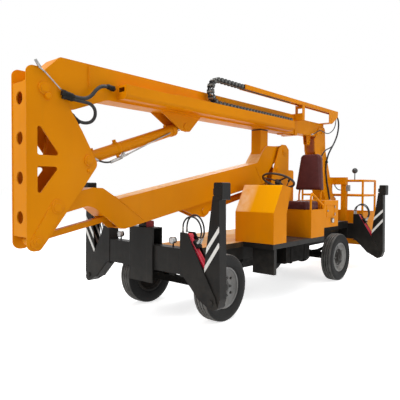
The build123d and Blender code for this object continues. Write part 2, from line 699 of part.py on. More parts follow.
inner_half = boom_half_y - boom_wall
lower_boom -= side_plate(outline([on_boom(*point) for point in inner_profile]), -inner_half, inner_half)
# ends left open for the tie rod
front_opening = ((front - 658, 210), (front - 318, 210), (front - 318, box_bottom + 37),
                 (front - 723, box_bottom + 37),
                 (front - 723, box_bottom - boom_wall))
rear_opening = ((60, 190), (415, 190), (600, box_bottom - boom_wall), (600, box_bottom + 27),
                (60, box_bottom + 27))
for opening in (front_opening, rear_opening):
    lower_boom -= side_plate(outline([on_boom(*point) for point in opening]), -inner_half, inner_half)
for place in (turret_pin, crank_boom_pin):
    lower_boom += cross_pin(place, 66, -boom_half_y, boom_half_y)
    lower_boom = bore_through(lower_boom, place, boom_pin_radius + pin_clearance)
lug_plate = 14
lug_gap = 6
lower_barrel_radius = 45
upper_barrel_radius = 62
barrel_collar = 7
lower_lug = lower_barrel_radius + barrel_collar + lug_gap
upper_lug = upper_barrel_radius + barrel_collar + lug_gap
lug_points = shifted(lower_cylinder_eye, [(440, 50), (130, -62), (0, -78), (-80, -40), (-230, 180),
                                          (130, 130)])
for low in (lower_lug, -lower_lug - lug_plate):
    lower_boom += side_plate(outline(lug_points, {1: 60, 2: 60, 3: 60}), low, low + lug_plate)
for low in (lower_lug + lug_plate, -lower_lug - lug_plate - 10):
    lower_boom += cross_pin(lower_cylinder_eye, 40, low, low + 10)
# post on the rear neck that the upper boom lies on when stowed, with a thin pad
rest_front, rest_rear = turret_pin[0] + 550, turret_pin[0] + 360
rest_half_y = 80
rest_clear = 6
pad_height = 14
rest_top = upper_bottom - rest_clear - pad_height
rest_post = side_plate(outline([(rest_rear, turret_pin[1]), (rest_rear, rest_top), (rest_front, rest_top),
                                (rest_front, turret_pin[1] - 140)]), -rest_half_y, rest_half_y)
neck = [on_boom(-60, -70), on_boom(401, -137), on_boom(512, -72), on_boom(686, box_top),
        on_boom(900, box_top),
        on_boom(900, 400), on_boom(-60, 400)]
rest_post -= side_plate(outline(neck), -rest_half_y - 10, rest_half_y + 10)
lower_boom += rest_post
keep("lower_boom", lower_boom)
keep("rest_pad", block(rest_rear, rest_front, -rest_half_y, rest_half_y, rest_top, rest_top + pad_height))

# Tie rod inside the lower boom, parallel to its pin line
tie_half_y = 32
tie_half_z = 28


def on_tie(distance, drop):
    return along(turret_tie_pin, crank_tie_pin, distance, drop)


tie_rod = side_plate(outline([on_tie(0, -tie_half_z), on_tie(pin_line, -tie_half_z),
                              on_tie(pin_line, tie_half_z),
                              on_tie(0, tie_half_z)]), -tie_half_y, tie_half_y)
for place in (turret_tie_pin, crank_tie_pin):
    tie_rod += cross_pin(place, 50, -tie_half_y - 12, tie_half_y + 12)
    tie_rod = bore_through(tie_rod, place, tie_pin_radius + pin_clearance)
keep("tie_rod", tie_rod)


# Boom cylinders in the middle plane: barrel on its foot pin with a port boss, rod with an eye between two lugs
def make_cylinder(base, eye, barrel_radius, rod_radius, foot_radius, eye_half_y, port_turn):
    length = math.hypot(eye[0] - base[0], eye[1] - base[1])

    def point(distance, drop=0):
        x, z = along(base, eye, distance, drop)
        return (x, 0, z)

    gland = length - 130
    barrel = bar(point(0), point(gland), barrel_radius)
    barrel += bar(point(gland - 60), point(gland), barrel_radius + barrel_collar)
    barrel += cross_pin(base, barrel_radius + 6, -52, 52)
    for distance in (150, gland - 130):
        barrel += bar(point(distance), point(distance, port_turn * (barrel_radius + 22)), 16)
    barrel -= bar(point(90), point(length), rod_radius + pin_clearance)
    barrel = bore_through(barrel, base, foot_radius + pin_clearance)
    rod = bar(point(110), point(length - 20), rod_radius)
    rod += cross_pin(eye, rod_radius + 20, -eye_half_y, eye_half_y)
    return barrel, rod


lower_barrel, lower_rod = make_cylinder(lower_cylinder_base, lower_cylinder_eye, lower_barrel_radius, 28,
                                        lower_foot_radius, lower_lug - lug_gap, 1)
keep("lower_barrel", lower_barrel)
keep("lower_rod", lower_rod)
upper_barrel, upper_rod = make_cylinder(crank_cylinder_pin, upper_cylinder_eye, upper_barrel_radius, 38,
                                        upper_foot_radius, upper_lug - lug_gap, 1)
keep("upper_barrel", upper_barrel)
keep("upper_rod", upper_rod)

# Bell crank: two rounded side plates with triangular windows and a holed front plate between them
crank_waist = crank_cylinder_pin[1]
crank_span = upper_pin[1] - crank_waist
crank_head = upper_pin[1] + 177
crank_tail = crank_tie_pin[1] - 86
crank_points = [(front_reach, crank_head), (front_reach - 132, crank_head),
                (front_reach - 364, upper_pin[1] - 58),
                (front_reach - 547, crank_waist + crank_span * 0.446),
                (front_reach - 726, crank_waist - 38),
                (front_reach - 546, crank_boom_pin[1] + 157), (front_reach - 214, crank_tie_pin[1] + 25),
                (front_reach - 122, crank_tail), (front_reach, crank_tail)]
crank_sketch = outline(crank_points, {0: 62, 1: 50, 2: 120, 4: 70, 7: 50, 8: 70})
window_front = front_reach - 100
window_corners = {0: 20, 1: 20, 2: 20}
upper_window = outline([(window_front, crank_waist + crank_span * 0.517),
                        (window_front - 218, crank_waist + 25),
                        (window_front, crank_waist + 25)], window_corners)
lower_window = outline([(window_front, crank_waist - 75), (window_front - 210, crank_waist - 75),
                        (window_front, crank_boom_pin[1] + 93)], window_corners)
crank_sketch = crank_sketch - upper_window - lower_window
crank = None
for low in (crank_half_y - crank_plate, -crank_half_y):
    plate = side_plate(crank_sketch, low, low + crank_plate)
    crank = plate if crank is None else crank + plate
front_plate_low, front_plate_high = crank_tie_pin[1] + 36, upper_pin[1] + 42
plate_inner = crank_half_y - crank_plate + 1
front_plate = block(front_reach - 18, front_reach - 6, -plate_inner, plate_inner, front_plate_low,
                    front_plate_high)
hole_count = 4
first_hole = front_plate_low + 167
hole_step = (front_plate_high - 135.5 - first_hole) / (hole_count - 1)
for index in range(hole_count):
    front_plate -= long_pin(0, first_hole + hole_step * index, 57, front_reach - 100, front_reach + 100)
crank += front_plate
crank += block(front_reach - 522, front_reach - 12, -plate_inner, plate_inner, crank_waist - 34,
               crank_waist - 22)
# doubler strip over the two lower pins, and the pins with their keeper discs
doubler = [along(crank_tie_pin, crank_boom_pin, -70, -62), along(crank_tie_pin, crank_boom_pin, 410, -62),
           along(crank_tie_pin, crank_boom_pin, 410, 62), along(crank_tie_pin, crank_boom_pin, -70, 62)]
for low in (crank_half_y, -crank_half_y - 8):
    crank += side_plate(outline(doubler, {0: 50, 1: 50, 2: 50, 3: 50}), low, low + 8)
crank_pins = ((upper_pin, boom_pin_radius), (crank_boom_pin, boom_pin_radius),
              (crank_tie_pin, tie_pin_radius),
              (crank_cylinder_pin, upper_foot_radius))
for place, radius in crank_pins:
    crank += cross_pin(place, radius, -crank_half_y - 20, crank_half_y + 20)
    for low in (crank_half_y, -crank_half_y - 14):
        crank += cross_pin(place, radius + 20, low, low + 14)
keep("bell_crank", crank)

# Upper boom: outer section with its root, slide pads at the mouth, cylinder lugs and the cable tray
root_x = upper_pin[0]
upper_points = [(upper_rear, upper_bottom), (upper_rear, upper_top), (root_x - 168, upper_top),
                (root_x + 72, upper_bottom + 80),
                (root_x + 42, upper_bottom - 95), (root_x - 300, upper_bottom - 145),
                (root_x - 682, upper_bottom)]
upper_boom = side_plate(outline(upper_points, {2: 40, 5: 60, 6: 120}), -upper_half_y, upper_half_y)
upper_boom += cross_pin(upper_pin, 112, -upper_half_y, upper_half_y)
cavity_half_y = upper_half_y - upper_wall
upper_boom -= block(upper_rear - 1, inner_front + 250, -cavity_half_y, cavity_half_y,
                    upper_bottom + upper_wall, upper_top - upper_wall)
upper_boom = bore_through(upper_boom, upper_pin, boom_pin_radius + pin_clearance)
slide_half_y = 60
mouth_front, mouth_rear = upper_rear + 172, upper_rear + 12
for low, high in ((upper_bottom + upper_wall, inner_bottom - pad_gap),
                  (inner_top + pad_gap, upper_top - upper_wall)):
    upper_boom += block(mouth_rear, mouth_front, -slide_half_y, slide_half_y, low, high)
for side in (1, -1):
    low, high = on_side(side, inner_half_y + pad_gap, cavity_half_y)
    upper_boom += block(mouth_rear, mouth_front, low, high, inner_bottom + 40, inner_top - 40)
# reinforcing collar round the mouth
collar_rear, collar_front = upper_rear - 14, upper_rear + 60
collar = block(collar_rear, collar_front, -upper_half_y - 14, upper_half_y + 14, upper_bottom - 16,
               upper_top + 14)
collar -= block(collar_rear - 6, collar_front + 10, -upper_half_y + 1, upper_half_y - 1,
                upper_bottom + 1, upper_top - 1)
upper_boom += collar
upper_boom += block(upper_rear - 10, upper_rear + 300, -slide_half_y, slide_half_y, upper_bottom - 16,
                    upper_bottom + 1)
lug_points = shifted(upper_cylinder_eye, [(421, 145), (70, -54), (-60, -54), (-260, 145)])
for low in (upper_lug, -upper_lug - lug_plate):
    upper_boom += side_plate(outline(lug_points, {1: 55, 2: 55}), low, low + lug_plate)
for low in (upper_lug + lug_plate, -upper_lug - lug_plate - 10):
    upper_boom += cross_pin(upper_cylinder_eye, 42, low, low + 10)
# tray: a tube with a rounded lower edge, closed at its front end around the cable entry
tray_front, tray_rear = root_x - 808, upper_rear + 290
tray_outer = 252
tray_wall = 6
tray_bottom = upper_bottom + 20
tray_top = upper_bottom + 160
tray_inner = upper_half_y - 1
tray_section = outline([(tray_inner, tray_bottom), (tray_outer, tray_bottom), (tray_outer, tray_top),
                        (tray_inner, tray_top)], {1: 45})
tray_hollow = outline([(tray_inner, tray_bottom + tray_wall),
                       (tray_outer - tray_wall, tray_bottom + tray_wall),
                       (tray_outer - tray_wall, tray_top - tray_wall),
                       (tray_inner, tray_top - tray_wall)], {1: 39})
tray = cross_plate(tray_section, tray_rear, tray_front)
tray -= cross_plate(tray_hollow, tray_rear - 1, tray_front - tray_wall)
tray -= block(tray_front - 10, tray_front + 1, upper_half_y + 24, tray_outer - 30, tray_top - 66,
              tray_top - 22)
tray += block(tray_rear, tray_front - 700, tray_outer - tray_wall, tray_outer, tray_top - 1,
              tray_top + 10)
upper_boom += tray

# Drag chain sizes: lower run on the tray, then the loop and the upper run inside the sliding rail
link_pitch = 58
link_length = 50
link_height = 50
link_half_y = 42
band_half = 9               # half thickness of the band that joins the links
band_inset = 7
chain_y = 190
chain_low = tray_top + 0.8 + link_height / 2
chain_high = upper_bottom + 480
chain_end = upper_rear + 330
chain_turn = chain_end + 1750
loop_radius = (chain_high - chain_low) / 2
rail_wall = 4
rail_half_y = link_half_y + 3 + rail_wall
rail_low, rail_high = chain_high - link_height / 2 - 1, chain_high + link_height / 2 + 3 + rail_wall
rail_front, rail_rear = chain_turn - 507, inner_rear - 251
lip_top = chain_high - link_height / 2 - pad_gap
# roller bracket on the boom's mouth, its two ears either side of the sliding rail
ear_inner = rail_half_y + 8
roller_radius = 22
roller = (upper_rear + 23, lip_top - rail_wall - 5.5 - roller_radius)
upper_boom += block(collar_rear, collar_front, upper_half_y, chain_y + ear_inner + 8, upper_top - 90,
                    upper_top + 14)
for low in (chain_y - ear_inner - 8, chain_y + ear_inner):
    upper_boom += block(collar_rear, collar_front, low, low + 8, upper_top - 20, roller[1] + 28)
upper_boom += cross_pin(roller, roller_radius, chain_y - ear_inner - 1, chain_y + ear_inner + 1)
keep("upper_boom", upper_boom)


def chain_link(x, z, angle, length=link_length):
    link = Box(length, 2 * link_half_y, link_height)
    return Pos(x, chain_y, z) * Rot(0, angle, 0) * link


def chain_strip(x_low, x_high, z):
    strip = block(x_low, x_high, chain_y - link_half_y + band_inset, chain_y + link_half_y - band_inset,
                  z - band_half, z + band_half)
    count = int((x_high - x_low) / link_pitch)
    for index in range(count):
        strip += chain_link(x_low + link_pitch * (index + 0.5), z, 0)
    return strip


keep("chain_run", chain_strip(chain_end, chain_turn - 0.5, chain_low))
loop_middle = (chain_low + chain_high) / 2
outer, inner = loop_radius + band_half, loop_radius - band_half
loop_face = make_face([
    ThreePointArc((chain_turn, loop_middle - outer), (chain_turn + outer, loop_middle),
                  (chain_turn, loop_middle + outer)),
    Line((chain_turn, loop_middle + outer), (chain_turn, loop_middle + inner)),
    ThreePointArc((chain_turn, loop_middle + inner), (chain_turn + inner, loop_middle),
                  (chain_turn, loop_middle - inner)),
    Line((chain_turn, loop_middle - inner), (chain_turn, loop_middle - outer))])
chain_loop = side_plate(loop_face, chain_y - link_half_y + band_inset, chain_y + link_half_y - band_inset)
loop_links = 8
for index in range(loop_links):
    angle = -90 + 180 / loop_links * (index + 0.5)
    x = chain_turn + loop_radius * math.cos(math.radians(angle))
    z = loop_middle + loop_radius * math.sin(math.radians(angle))
    chain_loop += chain_link(x, z, 90 - angle, link_length * 0.8)
chain_upper_end = rail_front - telescope_stroke / 2 - 40
chain_loop += chain_strip(chain_upper_end, chain_turn + 1, chain_high)
keep("chain_loop", chain_loop)

# Sliding rail over the chain, carried by a bracket on the inner boom's head
rail = block(rail_rear, rail_front, chain_y - rail_half_y, chain_y + rail_half_y, rail_low, rail_high)
rail -= block(rail_rear - 1, rail_front + 1, chain_y - rail_half_y + rail_wall,
              chain_y + rail_half_y - rail_wall,
              rail_low - 1, rail_high - rail_wall)
for low in (chain_y - rail_half_y + 1, chain_y + rail_half_y - 19):
    rail += block(rail_rear, rail_front, low, low + 18, lip_top - rail_wall, lip_top)
head_front, head_rear = hanger_pin[0] + 10, inner_rear - 15
rail += block(head_rear, head_front, 20, chain_y + rail_half_y, inner_top, inner_top + 12)
gusset = [(head_front, inner_top), (head_rear, inner_top), (rail_rear + 6, rail_low - 40),
          (rail_rear + 6, rail_high - 6),
          (head_front, rail_high - 6)]
rail += side_plate(outline(gusset), chain_y + rail_half_y - 8, chain_y + rail_half_y)
keep("chain_rail", rail)

# Inner boom with its tail pads, head pin and the levelling clevis under its head
inner_boom = block(inner_rear, inner_front, -inner_half_y, inner_half_y, inner_bottom, inner_top)
inner_boom -= block(inner_rear + 20, inner_front + 1, -inner_half_y + inner_wall,
                    inner_half_y - inner_wall,
                    inner_bottom + inner_wall, inner_top - inner_wall)
tail_rear, tail_front = inner_front - 150, inner_front - 10
inner_boom += block(tail_rear, tail_front, -slide_half_y, slide_half_y,
                    upper_bottom + upper_wall + pad_gap, inner_bottom + 1)
inner_boom += block(tail_rear, tail_front, -slide_half_y, slide_half_y, inner_top - 1,
                    upper_top - upper_wall - pad_gap)
for side in (1, -1):
    low, high = on_side(side, inner_half_y - 1, cavity_half_y - pad_gap)
    inner_boom += block(tail_rear, tail_front, low, high, inner_bottom + 40, inner_top - 40)
inner_boom += cross_pin(hanger_pin, hanger_pin_radius, -inner_half_y - 26, inner_half_y + 26)
clevis_x = hanger_pin[0] + 360
clevis_drop = 110
clevis_eye = (clevis_x, inner_bottom - clevis_drop)
clevis_sketch = outline([(clevis_x + 75, inner_bottom + 1),
                         (clevis_x + 48, inner_bottom - clevis_drop - 46),
                         (clevis_x - 48, inner_bottom - clevis_drop - 46),
                         (clevis_x - 55, inner_bottom + 1)], {1: 44, 2: 44})
for low in (22, -36):
    inner_boom += side_plate(clevis_sketch, low, low + 14)
inner_boom += cross_pin(clevis_eye, 18, -46, 46)
keep("inner_boom", inner_boom)

# Hanger from the boom's head down to the basket: two plates with webs, a cross beam and two basket posts
hanger_gap = inner_half_y + 6
hanger_plate = 10
hx, hz = hanger_pin
foot_front = basket_front + 160
foot_low = basket_panel_top - 60
hanger_points = [(hx + 105, hz + 70), (hx + 270, hz - 165), (hx + 255, hz - 340), (hx - 39, hz - 1023),
                 (foot_front, foot_low), (basket_front, foot_low), (basket_front, 1290),
                 (basket_front + 117, 1354),
                 (hx - 373, hz - 840), (hx - 145, hz - 307), (hx - 115, hz + 90)]
hanger_sketch = outline(hanger_points, {0: 50, 10: 60, 9: 150})
hanger = None
for low in (hanger_gap, -hanger_gap - hanger_plate):
    plate = side_plate(hanger_sketch, low, low + hanger_plate)
    hanger = plate if hanger is None else hanger + plate
# the front web starts low enough to let the lifted boom swing in between the plates
front_web = [(hx + 106, hz - 686), (hx - 39, hz - 1023), (foot_front, foot_low),
             (foot_front - 12, foot_low),
             (hx - 51, hz - 1020), (hx + 94, hz - 684)]
rear_web = [(hx - 160, hz - 340), (hx - 373, hz - 840), (basket_front + 117, 1354), (basket_front, 1290),
            (basket_front, 1276), (basket_front + 122, 1343), (hx - 361, hz - 836), (hx - 149, hz - 336)]
foot_web = [(basket_front, foot_low), (basket_front, 1290), (basket_front + 12, 1290),
            (basket_front + 12, foot_low + 12),
            (foot_front, foot_low + 12), (foot_front, foot_low)]
for web in (front_web, rear_web, foot_web):
    hanger += side_plate(outline(web), -hanger_gap - 1, hanger_gap + 1)
hanger = bore_through(hanger, hanger_pin, hanger_pin_radius + pin_clearance)
beam_y = basket_half_y - 290
cross_low, cross_high = basket_top - 92, basket_top + 40
hanger += block(basket_front, basket_front + 100, -beam_y, beam_y, cross_low, cross_high)
hanger += block(basket_front + 99, hx - 348, -hanger_gap - 1, hanger_gap + 1, cross_low, cross_high)
post_depth = 85
post_width = 95
for side in (1, -1):
    low, high = on_side(side, beam_y - post_width, beam_y)
    hanger += block(basket_front, basket_front + post_depth, low, high, basket_bottom + 20, cross_low + 1)
keep("hanger", hanger)

# Basket: floor and panelled lower sides, then posts and rails
basket_rear = -rear_reach
basket_wall = 4
floor_top = basket_bottom + 40
basket = block(basket_rear, basket_front, -basket_half_y, basket_half_y, basket_bottom, basket_panel_top)
basket -= block(basket_rear + basket_wall, basket_front - basket_wall, -basket_half_y + basket_wall,
                basket_half_y - basket_wall, floor_top, basket_panel_top + 1)
keep("basket", basket)
rails = None
post_x = (basket_front - rail_tube, basket_rear + rail_tube)
post_y = (-basket_half_y + rail_tube, 0, basket_half_y - rail_tube)
for x in post_x:
    for y in post_y:
        post = bar((x, y, basket_panel_top), (x, y, basket_top - rail_tube), rail_tube)
        rails = post if rails is None else rails + post
for z in (basket_top - rail_tube, basket_mid_rail):
    for x in post_x:
        rails += bar((x, post_y[0], z), (x, post_y[2], z), rail_tube)
    for y in (post_y[0], post_y[2]):
        rails += bar((post_x[0], y, z), (post_x[1], y, z), rail_tube)
keep("basket_rails", rails)

# Control box on the left post and a ball lamp on a stalk from the top rail
control = block(basket_front + 8, basket_front + 78, beam_y, beam_y + 52, cross_low - 120, cross_low - 10)
control = fillet(control.edges().filter_by(Axis.Y), 8)
stalk_y = 450
stalk_low = basket_top - 1
ball_z = basket_top + 160
ball_lamp = bar((post_x[0], stalk_y, stalk_low), (post_x[0], stalk_y, ball_z), 9)
ball_lamp += Pos(post_x[0], stalk_y, ball_z) * Sphere(50)
ball_lamp -= bar((post_x[0], post_y[0], basket_top - rail_tube),
                 (post_x[0], post_y[2], basket_top - rail_tube), rail_tube)
keep("basket_controls", control, ball_lamp)

os.makedirs("parts", exist_ok=True)
for name, solids in parts.items():
    placed = [Pos(-origin_x, 0, 0) * solid for solid in solids]
    export_step(placed[0] if len(placed) == 1 else Compound(placed), "parts/" + name + ".step")
print(len(parts), "parts written")
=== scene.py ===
import math

import bpy
import bmesh
from mathutils import Matrix, Vector


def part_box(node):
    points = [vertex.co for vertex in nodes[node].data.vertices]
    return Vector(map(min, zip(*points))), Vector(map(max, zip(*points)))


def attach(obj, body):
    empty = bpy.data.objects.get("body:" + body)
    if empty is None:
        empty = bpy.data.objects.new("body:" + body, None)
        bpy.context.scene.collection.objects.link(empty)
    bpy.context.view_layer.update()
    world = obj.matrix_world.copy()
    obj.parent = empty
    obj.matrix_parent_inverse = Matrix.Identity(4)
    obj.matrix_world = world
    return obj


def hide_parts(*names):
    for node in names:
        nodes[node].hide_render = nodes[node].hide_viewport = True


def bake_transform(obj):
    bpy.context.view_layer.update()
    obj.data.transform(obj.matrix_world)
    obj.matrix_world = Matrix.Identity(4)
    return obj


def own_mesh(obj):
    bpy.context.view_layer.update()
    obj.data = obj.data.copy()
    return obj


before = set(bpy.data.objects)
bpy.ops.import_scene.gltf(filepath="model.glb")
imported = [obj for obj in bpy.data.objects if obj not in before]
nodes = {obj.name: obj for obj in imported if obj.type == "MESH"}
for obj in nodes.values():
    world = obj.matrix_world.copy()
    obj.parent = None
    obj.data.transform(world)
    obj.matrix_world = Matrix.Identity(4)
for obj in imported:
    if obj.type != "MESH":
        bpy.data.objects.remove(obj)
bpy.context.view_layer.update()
print("frame loaded:", len(nodes), "nodes")

# camera solved from the photograph: metres in the part's frame, degrees, lens and sensor in millimetres
photoCamera = dict(place=(5.190, 3.716, 1.502), yaw=41.554, pitch=1.792, roll=0.373, lens=39.955, sensor=36,
                   clipEnd=500)


def addObject(name, data):
    obj = bpy.data.objects.new(name, data)
    bpy.context.collection.objects.link(obj)
    return obj


def makeCamera(c):
    yaw, pitch, roll = (math.radians(c[k]) for k in ("yaw", "pitch", "roll"))
    ahead = Vector((-math.cos(yaw) * math.cos(pitch), -math.sin(yaw) * math.cos(pitch), -math.sin(pitch)))
    right = ahead.cross(Vector((0, 0, 1))).normalized()
    up = right.cross(ahead)
    right, up = (right * math.cos(roll) + up * math.sin(roll), up * math.cos(roll) - right * math.sin(roll))
    turn = Matrix((right, up, -ahead)).transposed().to_4x4()
    data = bpy.data.cameras.new("photoCamera")
    data.lens = c["lens"]
    data.sensor_width = c["sensor"]
    data.clip_end = c["clipEnd"]
    camera = addObject("photoCamera", data)
    camera.matrix_world = Matrix.Translation(c["place"]) @ turn
    bpy.context.scene.camera = camera


makeCamera(photoCamera)


# small tools for node trees
def feed(tree, socket, value):
    if isinstance(value, bpy.types.NodeSocket):
        tree.links.new(value, socket)
    elif socket.type == "RGBA" and len(value) == 3:
        socket.default_value = (*value, 1)
    else:
        socket.default_value = value


def put(tree, kind, sockets=None, **settings):
    node = tree.nodes.new(kind)
    for key, value in settings.items():
        setattr(node, key, value)
    for key, value in (sockets or {}).items():
        feed(tree, node.inputs[key], value)
    return node


def startMaterial(name):
    material = bpy.data.materials.new(name)
    material.use_nodes = True
    return material, material.node_tree, material.node_tree.nodes["Principled BSDF"]


def objectPlace(tree):
    return put(tree, "ShaderNodeTexCoord").outputs["Object"]


def axesOf(tree, vector):
    return put(tree, "ShaderNodeSeparateXYZ", {0: vector}).outputs


def faceNormal(tree):
    return put(tree, "ShaderNodeNewGeometry").outputs["Normal"]


def noise(tree, scale, detail=5, rough=0.55, stretch=None):
    place = objectPlace(tree)
    if stretch:
        place = put(tree, "ShaderNodeMapping", {"Vector": place, "Scale": stretch}).outputs[0]
    return put(tree, "ShaderNodeTexNoise", {"Vector": place, "Scale": scale, "Detail": detail,
                                            "Roughness": rough}).outputs["Fac"]


def spread(tree, value, low, high, toLow=0.0, toHigh=1.0):
    return put(tree, "ShaderNodeMapRange", {"Value": value, "From Min": low, "From Max": high,
                                            "To Min": toLow, "To Max": toHigh}).outputs["Result"]


def calc(tree, operation, *values):
    return put(tree, "ShaderNodeMath", dict(enumerate(values)), operation=operation).outputs[0]


def times(tree, first, *others):
    for value in others:
        first = calc(tree, "MULTIPLY", first, value)
    return first


def vectorCalc(tree, operation, first, second):
    return put(tree, "ShaderNodeVectorMath", {0: first, 1: second}, operation=operation).outputs


def tint(tree, share, first, second):
    return put(tree, "ShaderNodeMix", {0: share, 6: first, 7: second}, data_type="RGBA").outputs[2]


# dot product of the rounded normal and the face's own, where an edge starts and where it is full
edgeLean = dict(samples=6, start=0.99, full=0.86)


def edgeMask(tree, radius):
    soft = put(tree, "ShaderNodeBevel", {"Radius": radius}, samples=edgeLean["samples"]).outputs[0]
    lean = vectorCalc(tree, "DOT_PRODUCT", soft, faceNormal(tree))["Value"]
    return spread(tree, lean, edgeLean["start"], edgeLean["full"]), soft


def addBump(tree, shader, height, strength, distance, normal=None):
    sockets = {"Height": height, "Strength": strength, "Distance": distance}
    if normal:
        sockets["Normal"] = normal
    feed(tree, shader.inputs["Normal"], put(tree, "ShaderNodeBump", sockets).outputs[0])


def fixed(shader, **values):
    for key, value in values.items():
        feed(None, shader.inputs[key.replace("_", " ")], value)


# pale floor and soft studio light; a lamp is its name, place, size and power
studio = dict(floorTone=0.86, floorGlow=0.72, floorRough=0.95, floorShine=0.1, floorHalf=90, sky=0.30,
              skyTint=(0.96, 0.98, 1.0), aim=(0, 0, 1.2),
              lamps=[("key", (8.5, 0.5, 6.5), 6.0, 390), ("over", (-0.5, 1.0, 9.0), 8.0, 660),
                     ("side", (-4.0, 8.0, 4.2), 6.0, 76), ("back", (-8.5, -5.0, 6.0), 6.0, 150),
                     ("fill", (-1.2, 5.0, 1.2), 2.0, 28)])


def seenRays(tree):
    # rays that show the background itself: straight, mirrored or through glass
    path = put(tree, "ShaderNodeLightPath").outputs
    clear = calc(tree, "MAXIMUM", path["Is Camera Ray"], path["Is Transmission Ray"])
    return calc(tree, "MAXIMUM", clear, path["Is Glossy Ray"])


def makeSky(s):
    scene = bpy.context.scene
    scene.view_settings.view_transform = "Standard"
    world = bpy.data.worlds.new("paleStudio")
    scene.world = world
    world.use_nodes = True
    tree = world.node_tree
    lit = tree.nodes["Background"]
    fixed(lit, Color=s["skyTint"], Strength=s["sky"])
    seen = put(tree, "ShaderNodeBackground", {"Color": (1, 1, 1), "Strength": 1.0})
    mix = put(tree, "ShaderNodeMixShader", {0: seenRays(tree), 1: lit.outputs[0], 2: seen.outputs[0]})
    tree.links.new(mix.outputs[0], tree.nodes["World Output"].inputs["Surface"])


def makeLights(s):
    for name, place, size, power in s["lamps"]:
        lamp = bpy.data.lights.new(name, "AREA")
        lamp.size = size
        lamp.energy = power
        holder = addObject(name, lamp)
        holder.location = place
        holder.rotation_euler = (Vector(s["aim"]) - Vector(place)).to_track_quat("-Z", "Y").to_euler()


def makeFloor(s):
    half = s["floorHalf"]
    mesh = bpy.data.meshes.new("studioFloor")
    mesh.from_pydata([(-half, -half, 0), (half, -half, 0), (half, half, 0), (-half, half, 0)], [],
                     [(0, 1, 2, 3)])
    floor = addObject("studioFloor", mesh)
    material, tree, shader = startMaterial("floorPaper")
    fixed(shader, Base_Color=(s["floorTone"],) * 3, Roughness=s["floorRough"],
          Specular_IOR_Level=s["floorShine"], Emission_Color=(1, 1, 1))
    feed(tree, shader.inputs["Emission Strength"], times(tree, seenRays(tree), s["floorGlow"]))
    mesh.materials.append(material)


makeSky(studio)
makeLights(studio)
makeFloor(studio)
print("camera and studio ready")

# noises for wear, and patches for the painted sky reflection: a band is the values that give none and all
wholeBand = (0.3, 0.7)
grains = {
    "stripeWear": dict(scale=45, detail=7, rough=0.7, band=(0.30, 0.37)),
    "trodden": dict(scale=5, detail=7, rough=0.65, band=(0.32, 0.6)),
    "glarePatches": dict(scale=9, detail=5, rough=0.55, band=(0.2, 0.6)),
    "chips": dict(scale=38, detail=6, rough=0.55, band=(0.47, 0.62)),
    "streaks": dict(scale=16, detail=4, rough=0.5, band=(0.56, 0.8), stretch=(1, 1, 0.08)),
    "dust": dict(scale=7, detail=8, rough=0.65, band=(0.38, 0.7)),
    "sheen": dict(scale=11, detail=6, rough=0.55, band=wholeBand),
    "tarnish": dict(scale=9, detail=5, rough=0.55, band=wholeBand)}


def grain(tree, name, toLow=0.0, toHigh=1.0):
    g = grains[name]
    field = noise(tree, g["scale"], g["detail"], g["rough"], g.get("stretch"))
    return spread(tree, field, *g["band"], toLow, toHigh)


# how far a face's normal points along an axis for none and all of a mask; the coat that all paints share
paintFaces = dict(ahead=(0.6, 0.8), level=(0.8, 0.95), upper=(0.2, 0.45))
topCoat = dict(rough=0.07, dustRough=0.25, patchDetail=3, peelScale=240, peelDetail=2, peel=0.06,
               peelDeep=0.001)


def paintStripes(tree, colour, place, p):
    # slanted bands on the faces that look ahead or back
    out = calc(tree, "ABSOLUTE", place["Y"])
    onFace = put(tree, "ShaderNodeCombineXYZ", {0: out, 1: place["Z"]}).outputs[0]
    ahead = spread(tree, calc(tree, "ABSOLUTE", axesOf(tree, faceNormal(tree))["X"]), *paintFaces["ahead"])
    for start, end in p["stripes"]:
        along = (Vector(end) - Vector(start)).normalized()
        start = Vector(start) - along * p["stripeOver"]
        run = Vector(end) + along * p["stripeOver"] - start
        away = vectorCalc(tree, "SUBTRACT", onFace, (*start, 0))[0]
        reach = vectorCalc(tree, "DOT_PRODUCT", away, (*along, 0))["Value"]
        aside = vectorCalc(tree, "DOT_PRODUCT", away, (-along.y, along.x, 0))["Value"]
        inLength = calc(tree, "COMPARE", reach, run.length / 2, run.length / 2)
        inWidth = calc(tree, "COMPARE", aside, 0.0, p["stripeHalf"])
        band = times(tree, inLength, inWidth, grain(tree, "stripeWear"), ahead)
        colour = tint(tree, band, colour, p["stripe"])
    return colour


def paintFloor(tree, colour, place, p):
    # trodden dirt on level faces, with another colour beyond the middle or on the skirt
    level = spread(tree, axesOf(tree, faceNormal(tree))["Z"], *paintFaces["level"])
    if "farSide" in p:
        far = times(tree, level, calc(tree, "LESS_THAN", place["Y"], 0.0))
        colour = tint(tree, far, colour, p["farSide"])
        level = calc(tree, "SUBTRACT", level, far)
    if "skirt" in p:
        colour = tint(tree, level, p["skirt"], colour)
    return tint(tree, times(tree, level, grain(tree, "trodden")), colour, p["floor"])


def paintFade(tree, colour, place, p):
    # painted highlight on upward faces, a brighter yellow where given, and a painted sky reflection in
    # patches towards one side
    upper = spread(tree, axesOf(tree, faceNormal(tree))["Z"], *paintFaces["upper"])
    if "litSlope" in p:
        colour = tint(tree, upper, colour, p["litSlope"])
    across = spread(tree, place["Y"], p["skyGlareFrom"], p["skyGlareTo"])
    return tint(tree, times(tree, upper, across, grain(tree, "glarePatches")), colour, p["skyGlare"])
